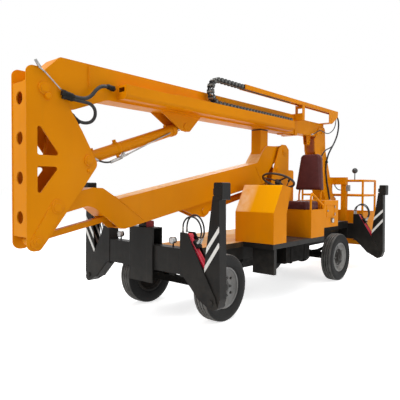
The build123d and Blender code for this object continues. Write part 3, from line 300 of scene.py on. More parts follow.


# sprayed steel: patchy tone, chipped edges, rain marks, and road dust low down; for some parts also painted
# shade inside a wheel's dish, or a painted highlight and painted sky reflection on upward faces
def makePaint(p):
    material, tree, shader = startMaterial(p["name"])
    place = axesOf(tree, objectPlace(tree))
    patches = spread(tree, noise(tree, p["patch"], topCoat["patchDetail"]), *wholeBand)
    colour = tint(tree, patches, p["deep"], p["bright"])
    if "stripes" in p:
        colour = paintStripes(tree, colour, place, p)
    if "floor" in p:
        colour = paintFloor(tree, colour, place, p)
    # painted shade: the colour darkens to near black deeper inside the wheel's dish, from innerFrom to
    # innerTo
    if "inner" in p:
        inside = spread(tree, calc(tree, "ABSOLUTE", place["Y"]), p["innerFrom"], p["innerTo"])
        colour = tint(tree, inside, colour, p["inner"])
    # painted highlight and painted sky reflection on upward faces
    if "skyGlare" in p:
        colour = paintFade(tree, colour, place, p)
    edge, soft = edgeMask(tree, p["edge"])
    colour = tint(tree, times(tree, edge, grain(tree, "chips"), p["wear"]), colour, p["worn"])
    colour = tint(tree, grain(tree, "streaks", 0.0, p["streaks"]), colour, p["stain"])
    dust = times(tree, spread(tree, place["Z"], p["dustTop"], p["dustFoot"]), grain(tree, "dust"))
    colour = tint(tree, times(tree, dust, p["dusty"]), colour, p["dust"])
    feed(tree, shader.inputs["Base Color"], colour)
    sheen = grain(tree, "sheen", *p["rough"])
    feed(tree, shader.inputs["Roughness"], calc(tree, "ADD", sheen, times(tree, dust, topCoat["dustRough"])))
    fixed(shader, Coat_Weight=p["coat"], Coat_Roughness=topCoat["rough"], Specular_IOR_Level=p["shine"])
    peel = noise(tree, topCoat["peelScale"], topCoat["peelDetail"])
    addBump(tree, shader, peel, topCoat["peel"], topCoat["peelDeep"], soft)
    return material


yellowPaint = dict(name="machineYellow", deep=(0.70, 0.226, 0.0004), bright=(0.79, 0.272, 0.0006), patch=1.1,
                   edge=0.004, wear=0.35, worn=(0.92, 0.56, 0.16), streaks=0.10, stain=(0.42, 0.17, 0.01),
                   dustTop=1.1, dustFoot=0.35, dusty=0.3, dust=(0.30, 0.17, 0.07), rough=(0.30, 0.42),
                   coat=0.015, shine=0.05)
# the cowl and the lower boom carry a painted highlight and a painted sky reflection on their upward faces
cowlPaint = dict(yellowPaint, name="cowlYellow", litSlope=(0.87, 0.37, 0.0006), skyGlare=(0.94, 0.58, 0.29),
                 skyGlareFrom=0.44, skyGlareTo=0.33)
boomPaint = dict(yellowPaint, name="boomYellow", skyGlare=(0.93, 0.55, 0.25), skyGlareFrom=-0.5, skyGlareTo=-0.3)
deckPaint = dict(yellowPaint, name="deckYellow", floor=(0.62, 0.33, 0.10), skirt=(0.03, 0.024, 0.018),
                 rough=(0.4, 0.55))
blackPaint = dict(name="chassisBlack", deep=(0.0085, 0.008, 0.0075), bright=(0.017, 0.016, 0.0145), patch=1.6,
                  edge=0.004, wear=0.45, worn=(0.07, 0.067, 0.062), streaks=0.2, stain=(0.04, 0.036, 0.031),
                  dustTop=0.85, dustFoot=0.25, dusty=0.5, dust=(0.07, 0.062, 0.052), rough=(0.34, 0.5),
                  coat=0.02, shine=0.1)
# painted shade: a darker, duller copy of the chassis black for the tanks, axles and knuckles under the deck
# and the brake drums behind the wheels
shadedUnderPaint = dict(blackPaint, name="underBlack", deep=(0.004, 0.004, 0.004), bright=(0.009, 0.0085, 0.008),
                  coat=0.0, shine=0.03, dusty=0.25, rough=(0.5, 0.7))
platformPaint = dict(blackPaint, name="platformBlack", floor=(0.075, 0.055, 0.042),
                     farSide=(0.66, 0.33, 0.08))
# stripes run from (out, up) to (out, up)
frontLegPaint = dict(blackPaint, name="frontLegBlack", stripe=(0.74, 0.74, 0.71), stripeOver=0.05,
                     stripeHalf=0.0175,
                     stripes=[((0.926, 0.878), (1.066, 1.070)), ((0.898, 0.681), (1.062, 0.915))])
rearLegPaint = dict(frontLegPaint, name="rearLegBlack",
                    stripes=[((0.935, 0.964), (1.086, 1.111)), ((0.905, 0.741), (1.081, 0.943))])
redPaint = dict(yellowPaint, name="cylinderRed", deep=(0.50, 0.009, 0.028), bright=(0.62, 0.016, 0.045),
                patch=3, worn=(0.5, 0.2, 0.2), stain=(0.1, 0.01, 0.012), dust=(0.2, 0.09, 0.07),
                rough=(0.18, 0.3), shine=0.3)
# the rim's dish is darkened inwards as painted shade
rimPaint = dict(blackPaint, name="rimGrey", deep=(0.20, 0.20, 0.197), bright=(0.29, 0.287, 0.277), patch=5,
                worn=(0.3, 0.3, 0.3), dust=(0.14, 0.12, 0.1), dustTop=0.75, dustFoot=0.1, streaks=0.3,
                inner=(0.008, 0.008, 0.008), innerFrom=0.632, innerTo=0.606)
enginePaint = dict(blackPaint, name="engineGrime", deep=(0.010, 0.010, 0.010), bright=(0.025, 0.024, 0.022),
                   patch=9, stain=(0.03, 0.018, 0.01), streaks=0.6, rough=(0.4, 0.7), shine=0.05)
ringPaint = dict(blackPaint, name="turntableSteel", deep=(0.10, 0.095, 0.09), bright=(0.2, 0.19, 0.18),
                 patch=8, stain=(0.09, 0.04, 0.015), streaks=0.5, rough=(0.3, 0.5))

machineYellow = makePaint(yellowPaint)
cowlYellow = makePaint(cowlPaint)
boomYellow = makePaint(boomPaint)
deckYellow = makePaint(deckPaint)
chassisBlack = makePaint(blackPaint)
underBlack = makePaint(shadedUnderPaint)
platformBlack = makePaint(platformPaint)
frontLegBlack = makePaint(frontLegPaint)
rearLegBlack = makePaint(rearLegPaint)
cylinderRed = makePaint(redPaint)
rimGrey = makePaint(rimPaint)
engineGrime = makePaint(enginePaint)
turntableSteel = makePaint(ringPaint)

# polished and plated metal
metalGrain = dict(scale=20, detail=6, rough=0.6, bump=0.05, deep=0.0006)
rodFinish = dict(name="rodChrome", dark=(0.62, 0.62, 0.63), light=(0.78, 0.78, 0.79), rough=(0.08, 0.2),
                 stretch=(30, 30, 30))
zincFinish = dict(name="zincPlate", dark=(0.20, 0.20, 0.20), light=(0.42, 0.42, 0.41), rough=(0.28, 0.48),
                  stretch=(8, 8, 8))


def makeMetal(p):
    material, tree, shader = startMaterial(p["name"])
    fine = noise(tree, metalGrain["scale"], metalGrain["detail"], metalGrain["rough"], p["stretch"])
    feed(tree, shader.inputs["Base Color"], tint(tree, grain(tree, "tarnish"), p["dark"], p["light"]))
    feed(tree, shader.inputs["Roughness"], spread(tree, fine, *wholeBand, *p["rough"]))
    fixed(shader, Metallic=1.0)
    addBump(tree, shader, fine, metalGrain["bump"], metalGrain["deep"])
    return material


rodChrome = makeMetal(rodFinish)
zincPlate = makeMetal(zincFinish)

# rubber and moulded plastic, dusty in patches or where a mesh's own map says
rubberGrain = dict(detail=8, rough=0.7, band=(0.25, 0.7), broadBand=(0.3, 0.72), mapLift=0.35, shine=0.25,
                   deep=0.001)


def makeRubber(p):
    g = rubberGrain
    material, tree, shader = startMaterial(p["name"])
    fine = noise(tree, p["fine"], g["detail"], g["rough"])
    broad = spread(tree, noise(tree, p["broad"]), *g["broadBand"])
    share = times(tree, broad, spread(tree, fine, *g["band"]))
    if "dustMap" in p:
        settled = put(tree, "ShaderNodeAttribute", attribute_name=p["dustMap"]).outputs["Fac"]
        share = times(tree, calc(tree, "ADD", share, g["mapLift"]), settled)
    feed(tree, shader.inputs["Base Color"], tint(tree, share, p["clean"], p["dusty"]))
    feed(tree, shader.inputs["Roughness"], spread(tree, fine, *wholeBand, *p["rough"]))
    fixed(shader, Specular_IOR_Level=g["shine"])
    addBump(tree, shader, fine, p["bump"], g["deep"])
    return material


tyreRubber = makeRubber(dict(name="tyreRubber", clean=(0.004, 0.004, 0.004), dusty=(0.30, 0.29, 0.27),
                             fine=120, broad=7, dustMap="dust", rough=(0.6, 0.85), bump=0.12))
hoseRubber = makeRubber(dict(name="hoseRubber", clean=(0.010, 0.010, 0.011), dusty=(0.06, 0.058, 0.055),
                             fine=260, broad=12, rough=(0.35, 0.5), bump=0.15))
chainPlastic = makeRubber(dict(name="chainPlastic", clean=(0.012, 0.012, 0.012), dusty=(0.24, 0.24, 0.215),
                               fine=90, broad=14, dustMap="pale", rough=(0.4, 0.6), bump=0.08))
wheelPlastic = makeRubber(dict(name="wheelPlastic", clean=(0.020, 0.016, 0.014), dusty=(0.10, 0.065, 0.045),
                               fine=150, broad=6, rough=(0.3, 0.5), bump=0.08))
padRubber = makeRubber(dict(name="padRubber", clean=(0.26, 0.012, 0.014), dusty=(0.34, 0.05, 0.045),
                            fine=80, broad=20, rough=(0.5, 0.7), bump=0.1))
restRubber = makeRubber(dict(name="restRubber", clean=(0.035, 0.018, 0.012), dusty=(0.10, 0.05, 0.03),
                             fine=80, broad=20, rough=(0.6, 0.8), bump=0.1))

# seat cover: pores, creases and worn patches
vinyl = dict(name="seatVinyl", deep=(0.052, 0.0095, 0.010), worn=(0.085, 0.018, 0.018), patch=5,
             patchDetail=6, patchBand=(0.3, 0.72), pores=420.0, poreShare=0.5, crease=34,
             creased=(0.16, 0.075, 0.06), creaseDetail=7, creaseRough=0.62, creaseBand=(0.58, 0.78),
             creaseShare=0.35, rough=(0.34, 0.52), coat=0.03, coatRough=0.3, shine=0.18, bump=0.22,
             bumpDeep=0.0012)


def makeVinyl(p):
    material, tree, shader = startMaterial(p["name"])
    pores = put(tree, "ShaderNodeTexVoronoi", {"Vector": objectPlace(tree), "Scale": p["pores"]},
                feature="F1")
    crease = noise(tree, p["crease"], p["creaseDetail"], p["creaseRough"])
    patches = spread(tree, noise(tree, p["patch"], p["patchDetail"]), *p["patchBand"])
    colour = tint(tree, patches, p["deep"], p["worn"])
    lines = spread(tree, crease, *p["creaseBand"], 0.0, p["creaseShare"])
    feed(tree, shader.inputs["Base Color"], tint(tree, lines, colour, p["creased"]))
    feed(tree, shader.inputs["Roughness"], spread(tree, crease, *wholeBand, *p["rough"]))
    fixed(shader, Coat_Weight=p["coat"], Coat_Roughness=p["coatRough"], Specular_IOR_Level=p["shine"])
    height = calc(tree, "ADD", times(tree, pores.outputs["Distance"], p["poreShare"]), crease)
    addBump(tree, shader, height, p["bump"], p["bumpDeep"])
    return material


seatVinyl = makeVinyl(vinyl)

# fluted lamp glass
lens = dict(name="lampLens", flutes=38.0, waver=0.4, dark=(0.36, 0.37, 0.38), light=(0.72, 0.72, 0.71),
            rough=(0.06, 0.18), coat=0.6, coatRough=0.05, bump=0.35, bumpDeep=0.002)


def makeLens(p):
    material, tree, shader = startMaterial(p["name"])
    flutes = put(tree, "ShaderNodeTexWave", {"Vector": objectPlace(tree), "Scale": p["flutes"],
                                             "Distortion": p["waver"]}, bands_direction="Y").outputs["Fac"]
    feed(tree, shader.inputs["Base Color"], tint(tree, flutes, p["dark"], p["light"]))
    feed(tree, shader.inputs["Roughness"], spread(tree, flutes, 0, 1, *p["rough"]))
    fixed(shader, Coat_Weight=p["coat"], Coat_Roughness=p["coatRough"])
    addBump(tree, shader, flutes, p["bump"], p["bumpDeep"])
    return material


lampLens = makeLens(lens)

# control box: grey below, black ball above
controls = dict(name="controlPlastic", box=((0.16, 0.16, 0.165), (0.30, 0.30, 0.30)), ballFrom=1.58,
                ball=((0.010, 0.010, 0.011), (0.05, 0.05, 0.05)), speck=70, speckDetail=6, speckRough=0.65,
                rough=(0.28, 0.5), bump=0.08, bumpDeep=0.001)


def makeControlPlastic(p):
    material, tree, shader = startMaterial(p["name"])
    isBall = calc(tree, "GREATER_THAN", axesOf(tree, objectPlace(tree))["Z"], p["ballFrom"])
    speck = noise(tree, p["speck"], p["speckDetail"], p["speckRough"])
    box, ball = (tint(tree, speck, *p[part]) for part in ("box", "ball"))
    feed(tree, shader.inputs["Base Color"], tint(tree, isBall, box, ball))
    feed(tree, shader.inputs["Roughness"], spread(tree, speck, *wholeBand, *p["rough"]))
    addBump(tree, shader, speck, p["bump"], p["bumpDeep"])
    return material


controlPlastic = makeControlPlastic(controls)

# each corner: the wheel's x, the side, the leg's x
corners = {"front_left": (1.334, 1, 1.894), "front_right": (1.334, -1, 1.894),
           "rear_left": (-1.632, 1, -2.446), "rear_right": (-1.632, -1, -2.446)}

# finish of each CAD node
finishes = {
    cowlYellow: ["cowl"],
    boomYellow: ["lower_boom"],
    machineYellow: ["seat_box", "rear_cabinet", "turret", "tie_rod", "lower_barrel", "bell_crank",
                    "upper_boom", "upper_barrel", "inner_boom", "chain_rail", "hanger", "basket",
                    "basket_rails"],
    deckYellow: ["deck"],
    platformBlack: ["platforms"],
    chassisBlack: ["chassis_frame", "front_outrigger_beam", "rear_outrigger_beam", "boom_cradle",
                   "steering_column", "lamps"],
    underBlack: ["tanks", "front_axle", "rear_axle", "knuckle_left", "knuckle_right"],
    frontLegBlack: ["outrigger_leg_front_left", "outrigger_leg_front_right"],
    rearLegBlack: ["outrigger_leg_rear_left", "outrigger_leg_rear_right"],
    cylinderRed: ["outrigger_barrel_" + c for c in corners],
    rodChrome: ["lower_rod", "upper_rod"] + ["outrigger_rod_" + c for c in corners],
    rimGrey: ["rim_" + c for c in corners],
    tyreRubber: ["tyre_" + c for c in corners],
    engineGrime: ["engine"],
    turntableSteel: ["turntable"],
    seatVinyl: ["seat_cushion", "seat_backrest"],
    wheelPlastic: ["steering_wheel"],
    controlPlastic: ["basket_controls"],
    chainPlastic: ["chain_run", "chain_loop"],
    padRubber: ["cradle_pad"],
    restRubber: ["rest_pad"]}


def dressNodes(table):
    for material, names in table.items():
        for name in names:
            for slot in nodes[name].material_slots:
                slot.material = material


dressNodes(finishes)
print("finishes on", sum(len(v) for v in finishes.values()), "CAD nodes")


# mesh tools
def meshFrom(bm, name):
    mesh = bpy.data.meshes.new(name)
    bmesh.ops.recalc_face_normals(bm, faces=bm.faces)
    bm.to_mesh(mesh)
    bm.free()
    return mesh


def evaluatedMesh(obj):
    bpy.context.view_layer.update()
    return bpy.data.meshes.new_from_object(obj.evaluated_get(bpy.context.evaluated_depsgraph_get()))


def addPiece(mesh, name, body, softAngle):
    mesh.polygons.foreach_set("use_smooth", [True] * len(mesh.polygons))
    mesh.set_sharp_from_angle(angle=math.radians(softAngle))
    piece = addObject(name, mesh)
    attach(piece, body)
    return piece


def finishMesh(bm, name, material, body, softAngle=35):
    mesh = meshFrom(bm, name)
    mesh.materials.append(material)
    return addPiece(mesh, name, body, softAngle)


def turned(bm, profile, place, axis, steps=24):
    # round piece from (distance, radius) pairs along an axis
    axis = Vector(axis).normalized()
    side = axis.orthogonal().normalized()
    other = axis.cross(side)
    rings = []
    for distance, radius in profile:
        middle = Vector(place) + axis * distance
        if radius < 1e-6:
            rings.append([bm.verts.new(middle)])
            continue
        rings.append([bm.verts.new(middle + (side * math.cos(a) + other * math.sin(a)) * radius)
                      for a in (2 * math.pi * k / steps for k in range(steps))])
    for first, second in zip(rings, rings[1:]):
        for k in range(steps):
            corner = [first[k % len(first)], first[(k + 1) % len(first)],
                      second[(k + 1) % len(second)], second[k % len(second)]]
            corner = list(dict.fromkeys(corner))
            if len(corner) > 2:
                bm.faces.new(corner)


def shares(profile, radius):
    # turns (distance, share of the radius) pairs into (distance, radius) pairs
    return [(distance, share * radius) for distance, share in profile]


def rod(bm, start, end, radius, steps=14):
    # round bar with a chamfered end past each point
    run = Vector(end) - Vector(start)
    past = 0.3 * radius
    narrow = 0.8 * radius
    turned(bm, [(-past, 0.0), (-past, narrow), (0.0, radius), (run.length, radius),
                (run.length + past, narrow), (run.length + past, 0.0)], start, run, steps)


def slab(bm, low, high, bevel=0.002):
    made = bmesh.ops.create_cube(bm, size=1.0)["verts"]
    for vert in made:
        vert.co = Vector([(a + b) / 2 + (b - a) * t for a, b, t in zip(low, high, vert.co)])
    edges = list({edge for vert in made for edge in vert.link_edges})
    bmesh.ops.bevel(bm, geom=edges, offset=bevel, segments=2, profile=0.5, affect="EDGES")


# Geometry Nodes: studs on points, links along a line, beads along a line
def startTree(name, sockets):
    tree = bpy.data.node_groups.new(name, "GeometryNodeTree")
    tree.interface.new_socket("Geometry", in_out="INPUT", socket_type="NodeSocketGeometry")
    for label, kind, value in sockets:
        socket = tree.interface.new_socket(label, in_out="INPUT", socket_type="NodeSocket" + kind)
        if value is not None:
            socket.default_value = value
    tree.interface.new_socket("Geometry", in_out="OUTPUT", socket_type="NodeSocketGeometry")
    return tree, tree.nodes.new("NodeGroupInput"), tree.nodes.new("NodeGroupOutput")


def endTree(tree, start, end, instances):
    real = put(tree, "GeometryNodeRealizeInstances", {"Geometry": instances})
    dressed = put(tree, "GeometryNodeSetMaterial", {"Geometry": real.outputs[0],
                                                    "Material": start.outputs["Finish"]})
    tree.links.new(dressed.outputs[0], end.inputs[0])


def pointsOnLine(tree, start, step):
    line = put(tree, "GeometryNodeMeshToCurve", {"Mesh": start.outputs["Geometry"]})
    return put(tree, "GeometryNodeCurveToPoints", {"Curve": line.outputs[0], "Length": start.outputs[step]},
               mode="LENGTH").outputs


def makeStudTree():
    tree, start, end = startTree("studsOnPoints", [("Stud", "Object", None), ("Finish", "Material", None),
                                                   ("Seed", "Int", 4)])
    facing = put(tree, "GeometryNodeInputNamedAttribute", {"Name": "facing"}, data_type="FLOAT_VECTOR")
    size = put(tree, "GeometryNodeInputNamedAttribute", {"Name": "size"}, data_type="FLOAT")
    turn = put(tree, "FunctionNodeAlignRotationToVector", {"Vector": facing.outputs[0]}, axis="Z")
    spin = put(tree, "FunctionNodeRandomValue", {"Seed": start.outputs["Seed"]}, data_type="FLOAT")
    around = put(tree, "FunctionNodeAxisAngleToRotation", {"Axis": (0, 0, 1), "Angle": spin.outputs[1]})
    spun = put(tree, "FunctionNodeRotateRotation", {0: turn.outputs[0], 1: around.outputs[0]},
               rotation_space="LOCAL")
    shape = put(tree, "GeometryNodeObjectInfo", {"Object": start.outputs["Stud"]})
    spots = put(tree, "GeometryNodeInstanceOnPoints",
                {"Points": start.outputs["Geometry"], "Instance": shape.outputs["Geometry"],
                 "Rotation": spun.outputs[0], "Scale": size.outputs[0]})
    endTree(tree, start, end, spots.outputs[0])
    return tree


def makeLinkTree():
    tree, start, end = startTree("linksOnLine", [("Link", "Object", None), ("Pitch", "Float", 0.03),
                                                 ("Finish", "Material", None)])
    spots = pointsOnLine(tree, start, "Pitch")
    turn = put(tree, "FunctionNodeAlignRotationToVector", {"Vector": spots["Tangent"]}, axis="X",
               pivot_axis="Y")
    shape = put(tree, "GeometryNodeObjectInfo", {"Object": start.outputs["Link"]})
    links = put(tree, "GeometryNodeInstanceOnPoints",
                {"Points": spots["Points"], "Instance": shape.outputs["Geometry"],
                 "Rotation": turn.outputs[0]})
    endTree(tree, start, end, links.outputs[0])
    return tree


def makeBeadTree():
    tree, start, end = startTree("weldBeads", [("Step", "Float", 0.006), ("Bead", "Float", 0.006),
                                               ("Least", "Float", 0.8), ("Most", "Float", 1.15),
                                               ("Finish", "Material", None), ("Seed", "Int", 11)])
    spots = pointsOnLine(tree, start, "Step")
    turn = put(tree, "FunctionNodeAlignRotationToVector", {"Vector": spots["Tangent"]}, axis="Z")
    bead = put(tree, "GeometryNodeMeshIcoSphere", {"Radius": start.outputs["Bead"], "Subdivisions": 1})
    size = put(tree, "FunctionNodeRandomValue", {2: start.outputs["Least"], 3: start.outputs["Most"],
                                                 "Seed": start.outputs["Seed"]}, data_type="FLOAT")
    beads = put(tree, "GeometryNodeInstanceOnPoints",
                {"Points": spots["Points"], "Instance": bead.outputs[0], "Rotation": turn.outputs[0],
                 "Scale": size.outputs[1]})
    endTree(tree, start, end, beads.outputs[0])
    return tree


studTree = makeStudTree()
linkTree = makeLinkTree()
beadTree = makeBeadTree()
patterns = []


def grow(name, tree, carrier, values, body, softAngle=35):
    modifier = carrier.modifiers.new("grow", "NODES")
    modifier.node_group = tree
    names = {s.name: s.identifier for s in tree.interface.items_tree if s.in_out == "INPUT"}
    for label, value in values.items():
        modifier[names[label]] = value
    mesh = evaluatedMesh(carrier)
    carrier.modifiers.clear()
    bpy.data.objects.remove(carrier)
    return addPiece(mesh, name, body, softAngle)


def lineCarrier(lines):
    # each line is a list of points joined in order
    mesh = bpy.data.meshes.new("line")
    points, edges = [], []
    for line in lines:
        edges += [(len(points) + k, len(points) + k + 1) for k in range(len(line) - 1)]
        points += line
    mesh.from_pydata(points, edges, [])
    return addObject("line", mesh)


def pointCarrier(spots):
    # each spot is (place, facing, size)
    mesh = bpy.data.meshes.new("spots")
    mesh.from_pydata([s[0] for s in spots], [], [])
    mesh.attributes.new("facing", "FLOAT_VECTOR", "POINT")
    mesh.attributes.new("size", "FLOAT", "POINT")
    for k, (place, way, scale) in enumerate(spots):
        mesh.attributes["facing"].data[k].vector = way
        mesh.attributes["size"].data[k].value = scale
    return addObject("spots", mesh)


def patternFrom(bm, name):
    pattern = addObject(name, meshFrom(bm, name))
    patterns.append(pattern)
    return pattern


# hex head on a washer, one unit across the washer
boltHead = dict(washer=0.5, washerTop=0.485, washerThick=0.09, sunk=0.1, head=0.36, headHigh=0.34, lap=0.01,
                crown=0.06, crownShare=0.82)


def makeBolt(b):
    bm = bmesh.new()
    crownHigh = b["headHigh"] + b["crown"]
    turned(bm, [(-b["sunk"], 0.0), (-b["sunk"], b["washer"]), (b["washerThick"], b["washerTop"]),
                (b["washerThick"], b["head"])], (0, 0, 0), (0, 0, 1), steps=12)
    turned(bm, [(b["washerThick"] - b["lap"], b["head"]), (b["headHigh"], b["head"]),
                (crownHigh, b["head"] * b["crownShare"]), (crownHigh, 0.0)], (0, 0, 0), (0, 0, 1), steps=6)
    return patternFrom(bm, "boltHead")


bolt = makeBolt(boltHead)

# tyres: ribbed tread with zigzag grooves, slotted shoulders, bulged walls; wall rows are (out, radius, dust);
# groove floors get no dust and slot floors only a share of it, as painted shade
tyre = dict(radius=0.375, blocks=54, steps=6, zigzag=0.0024, treadHalf=0.071, crown=0.0045,
            grooves=(-0.037, 0.0, 0.037), grooveHalf=0.0075, grooveDeep=0.015, grooveFloor=0.6, lip=0.0015,
            lipBand=0.006, slot=0.0045, slotFrom=0.345, slotShare=0.3, slotShadeShare=0.3, shoulderDust=0.7,
            ribDust=0.6, lipDust=1.0, lipSideDust=0.9, wallDust=0.06,
            wall=[(0.056, 0.222, 0.1), (0.067, 0.229, 0.1), (0.0715, 0.240, 0.2), (0.078, 0.252, 0.25),
                  (0.0805, 0.2535, 0.4), (0.0855, 0.272, 0.3), (0.0905, 0.292, 0.3), (0.0922, 0.3095, 0.35),
                  (0.0918, 0.326, 0.45), (0.0885, 0.340, 0.5), (0.0868, 0.342, 0.25), (0.0835, 0.352, 0.7),
                  (0.0785, 0.3625, 0.9)])


def tyreProfile(t):
    # rows of (across, radius, dust, kind) from one bead over the tread to the other
    def treadRadius(y):
        return t["radius"] - t["crown"] * (y / t["treadHalf"]) ** 2

    shoulder = (treadRadius(t["treadHalf"]), t["shoulderDust"], "plain")
    tread = [(-t["treadHalf"], *shoulder)]
    half, lip = t["grooveHalf"], t["lip"]
    for middle in t["grooves"]:
        top = treadRadius(middle)
        # painted shade: the groove floor's dust is 0, so the grooves stay black
        rows = [(half + t["lipBand"], top, t["ribDust"]), (half + lip, top, t["lipDust"]),
                (half, top - lip, t["lipSideDust"]), (half * t["grooveFloor"], top - t["grooveDeep"], 0.0)]
        tread += [(middle - y, r, dust, "zigzag") for y, r, dust in rows]
        tread += [(middle + y, r, dust, "zigzag") for y, r, dust in reversed(rows)]
    tread.append((t["treadHalf"], *shoulder))
    wall = [(y, r, dust * t["wallDust"], "slotted" if r > t["slotFrom"] else "plain")
            for y, r, dust in t["wall"]]
    return [(-y, r, dust, kind) for y, r, dust, kind in wall] + tread + list(reversed(wall))


def makeTyre(place, t):
    profile = tyreProfile(t)
    count = t["blocks"] * t["steps"]
    bm = bmesh.new()
    dustLayer = bm.verts.layers.float.new("dust")
    rings = []
    for step in range(count):
        angle = 2 * math.pi * step / count
        phase = (step % t["steps"]) / t["steps"]
        swing = (abs(phase - 0.5) * 4 - 1) * t["zigzag"]  # triangle wave, once a block
        ring = []
        for y, r, dust, kind in profile:
            if kind == "zigzag":
                y += swing
            # painted shade: slot floors keep only a share of the dust
            if kind == "slotted" and phase < t["slotShare"]:
                r -= t["slot"]
                dust *= t["slotShadeShare"]
            vert = bm.verts.new((place[0] + r * math.cos(angle), place[1] + y,
                                 place[2] + r * math.sin(angle)))
            vert[dustLayer] = dust
            ring.append(vert)
        rings.append(ring)
    for first, second in zip(rings, rings[1:] + rings[:1]):
        for k in range(len(profile)):
            n = (k + 1) % len(profile)
            bm.faces.new((first[k], first[n], second[n], second[k]))
    return bm


# hubs: nuts, a flange on the rear wheels, a cap in shares of its radius, a valve stem, a brake drum behind
wheel = dict(out=0.6145, high=0.375)
hub = dict(nuts=6, nutCircle=0.112, nutOut=0.0445, nutSize=0.034, capRadius=dict(front=0.047, rear=0.074),
           collar=0.004, collarFrom=0.030, collarTo=0.050,
           flange=[(0.040, 0.0), (0.040, 0.130), (0.0465, 0.130), (0.0475, 0.128), (0.0475, 0.0)],
           cap=[(0.053, 1.0), (0.068, 0.92), (0.0725, 0.72), (0.0725, 0.45), (0.076, 0.4), (0.080, 0.3),
                (0.080, 0.0)])
stem = dict(away=0.187, lean=0.35, profile=[(0.054, 0.0), (0.054, 0.006), (0.082, 0.0045), (0.083, 0.006),
                                            (0.09, 0.006), (0.09, 0.0)])
drum = dict(inner=-0.050, outer=0.006, radius=0.184, rib=0.005, ribHalf=0.008, taperLong=0.006, taper=0.008)


def placeNuts(middle, side, h):
    x, y, z = middle
    angles = [2 * math.pi * k / h["nuts"] for k in range(h["nuts"])]
    return pointCarrier([((x + h["nutCircle"] * math.cos(a), y + side * h["nutOut"],
                           z + h["nutCircle"] * math.sin(a)), (0, side, 0), h["nutSize"]) for a in angles])


def makeHub(middle, side, end, h):
    bm = bmesh.new()
    outward = (0, side, 0)
    r = h["capRadius"][end]
    if end == "rear":
        turned(bm, h["flange"], middle, outward, steps=48)
    collar = [(h["collarFrom"], r + h["collar"]), (h["collarTo"], r + h["collar"])]
    turned(bm, collar + shares(h["cap"], r), middle, outward, steps=32)
    turned(bm, stem["profile"], (middle[0] + stem["away"], middle[1], middle[2]), (stem["lean"], side, 0),
           steps=12)
    return bm


def makeDrum(middle, side, d):
    bm = bmesh.new()
    inner, outer, r = d["inner"], d["outer"], d["radius"]
    turned(bm, [(inner, 0.0), (inner, r), (inner + d["ribHalf"], r + d["rib"]), (inner + 2 * d["ribHalf"], r),
                (outer - d["taperLong"], r), (outer, r - d["taper"]), (outer, 0.0)], middle, (0, side, 0),
           steps=48)
    return bm


for corner, (wheelX, side, legX) in corners.items():
    body = "wheel_" + corner
    end = corner.split("_")[0]
    middle = (wheelX, side * wheel["out"], wheel["high"])
    piece = finishMesh(makeTyre(middle, tyre), "ribbedTyre_" + corner, tyreRubber, body, softAngle=30)
    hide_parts("tyre_" + corner)
    grow("wheelNuts_" + corner, studTree, placeNuts(middle, side, hub),
         {"Stud": bolt, "Finish": chassisBlack}, body)
    finishMesh(makeHub(middle, side, end, hub), "hubCap_" + corner, chassisBlack, body)
    finishMesh(makeDrum(middle, side, drum), "brakeDrum_" + corner, underBlack, body)
print("tyres, nuts, hub caps and drums on", len(corners), "wheels")

# drag chain: where it runs, and one link of two tongued side plates with pivot bosses, stays and two cables
chain = dict(pitch=0.070, y=0.19, low=2.5258, top=2.82, back=-0.863, turn=0.884, backGap=0.015, turnGap=0.012,
             turnSteps=24, keepShare=0.314)
chainLink = dict(halfWidth=0.041, high=0.052, plate=0.007, plateShare=0.38, plateBevel=0.0032,
                 tongueShare=0.53, tongueHigh=0.24, tongueIn=0.001, tongueBevel=0.002,
                 cables=(-0.016, 0.008), cable=0.008, cableDrop=0.004,
                 boss=[(0.0, 0.0155), (0.0026, 0.015), (0.0034, 0.0125), (0.0026, 0.0)],
                 bossIn=0.0012, stayShare=0.15, stayHalf=0.0045, stayIn=0.003, stayShort=0.001,
                 stayBevel=0.0015, plateTone=0.06, bossTone=1.0)


def makeLink(p, c):
    bm = bmesh.new()
    pale = bm.verts.layers.float.new("pale")
    h, w = c["high"], c["halfWidth"]
    plate, tongue, stay = (p * c[k] for k in ("plateShare", "tongueShare", "stayShare"))
    for side in (-1, 1):
        low, high = sorted((side * w, side * (w - c["plate"])))
        slab(bm, (-plate, low, -h / 2), (plate, high, h / 2), c["plateBevel"])
        slab(bm, (-tongue, low + c["tongueIn"], -h * c["tongueHigh"]),
             (tongue, high - c["tongueIn"], h * c["tongueHigh"]), c["tongueBevel"])
    for y in c["cables"]:
        turned(bm, [(-p / 2, c["cable"]), (p / 2, c["cable"])], (0, y, -c["cableDrop"]), (1, 0, 0), steps=8)
    dark = set(bm.verts)
    for side in (-1, 1):
        turned(bm, c["boss"], (0, side * (w - c["bossIn"]), 0), (0, side, 0), steps=14)
    reach = w - c["stayShort"]
    for z in (h / 2 - c["stayIn"], -h / 2 + c["stayIn"]):
        slab(bm, (-stay, -reach, z - c["stayHalf"]), (stay, reach, z + c["stayHalf"]), c["stayBevel"])
    for vert in bm.verts:
        vert[pale] = c["plateTone"] if vert in dark else c["bossTone"]
    return patternFrom(bm, "chainLink")


def loopLine(c):
    # half a turn upward, then back along the top
    radius = (c["top"] - c["low"]) / 2
    middle = (c["top"] + c["low"]) / 2
    angles = [math.pi * k / c["turnSteps"] for k in range(c["turnSteps"] + 1)]
    line = [(c["turn"] + radius * math.sin(a), c["y"], middle - radius * math.cos(a)) for a in angles]
    return line + [(c["back"], c["y"], c["top"])]


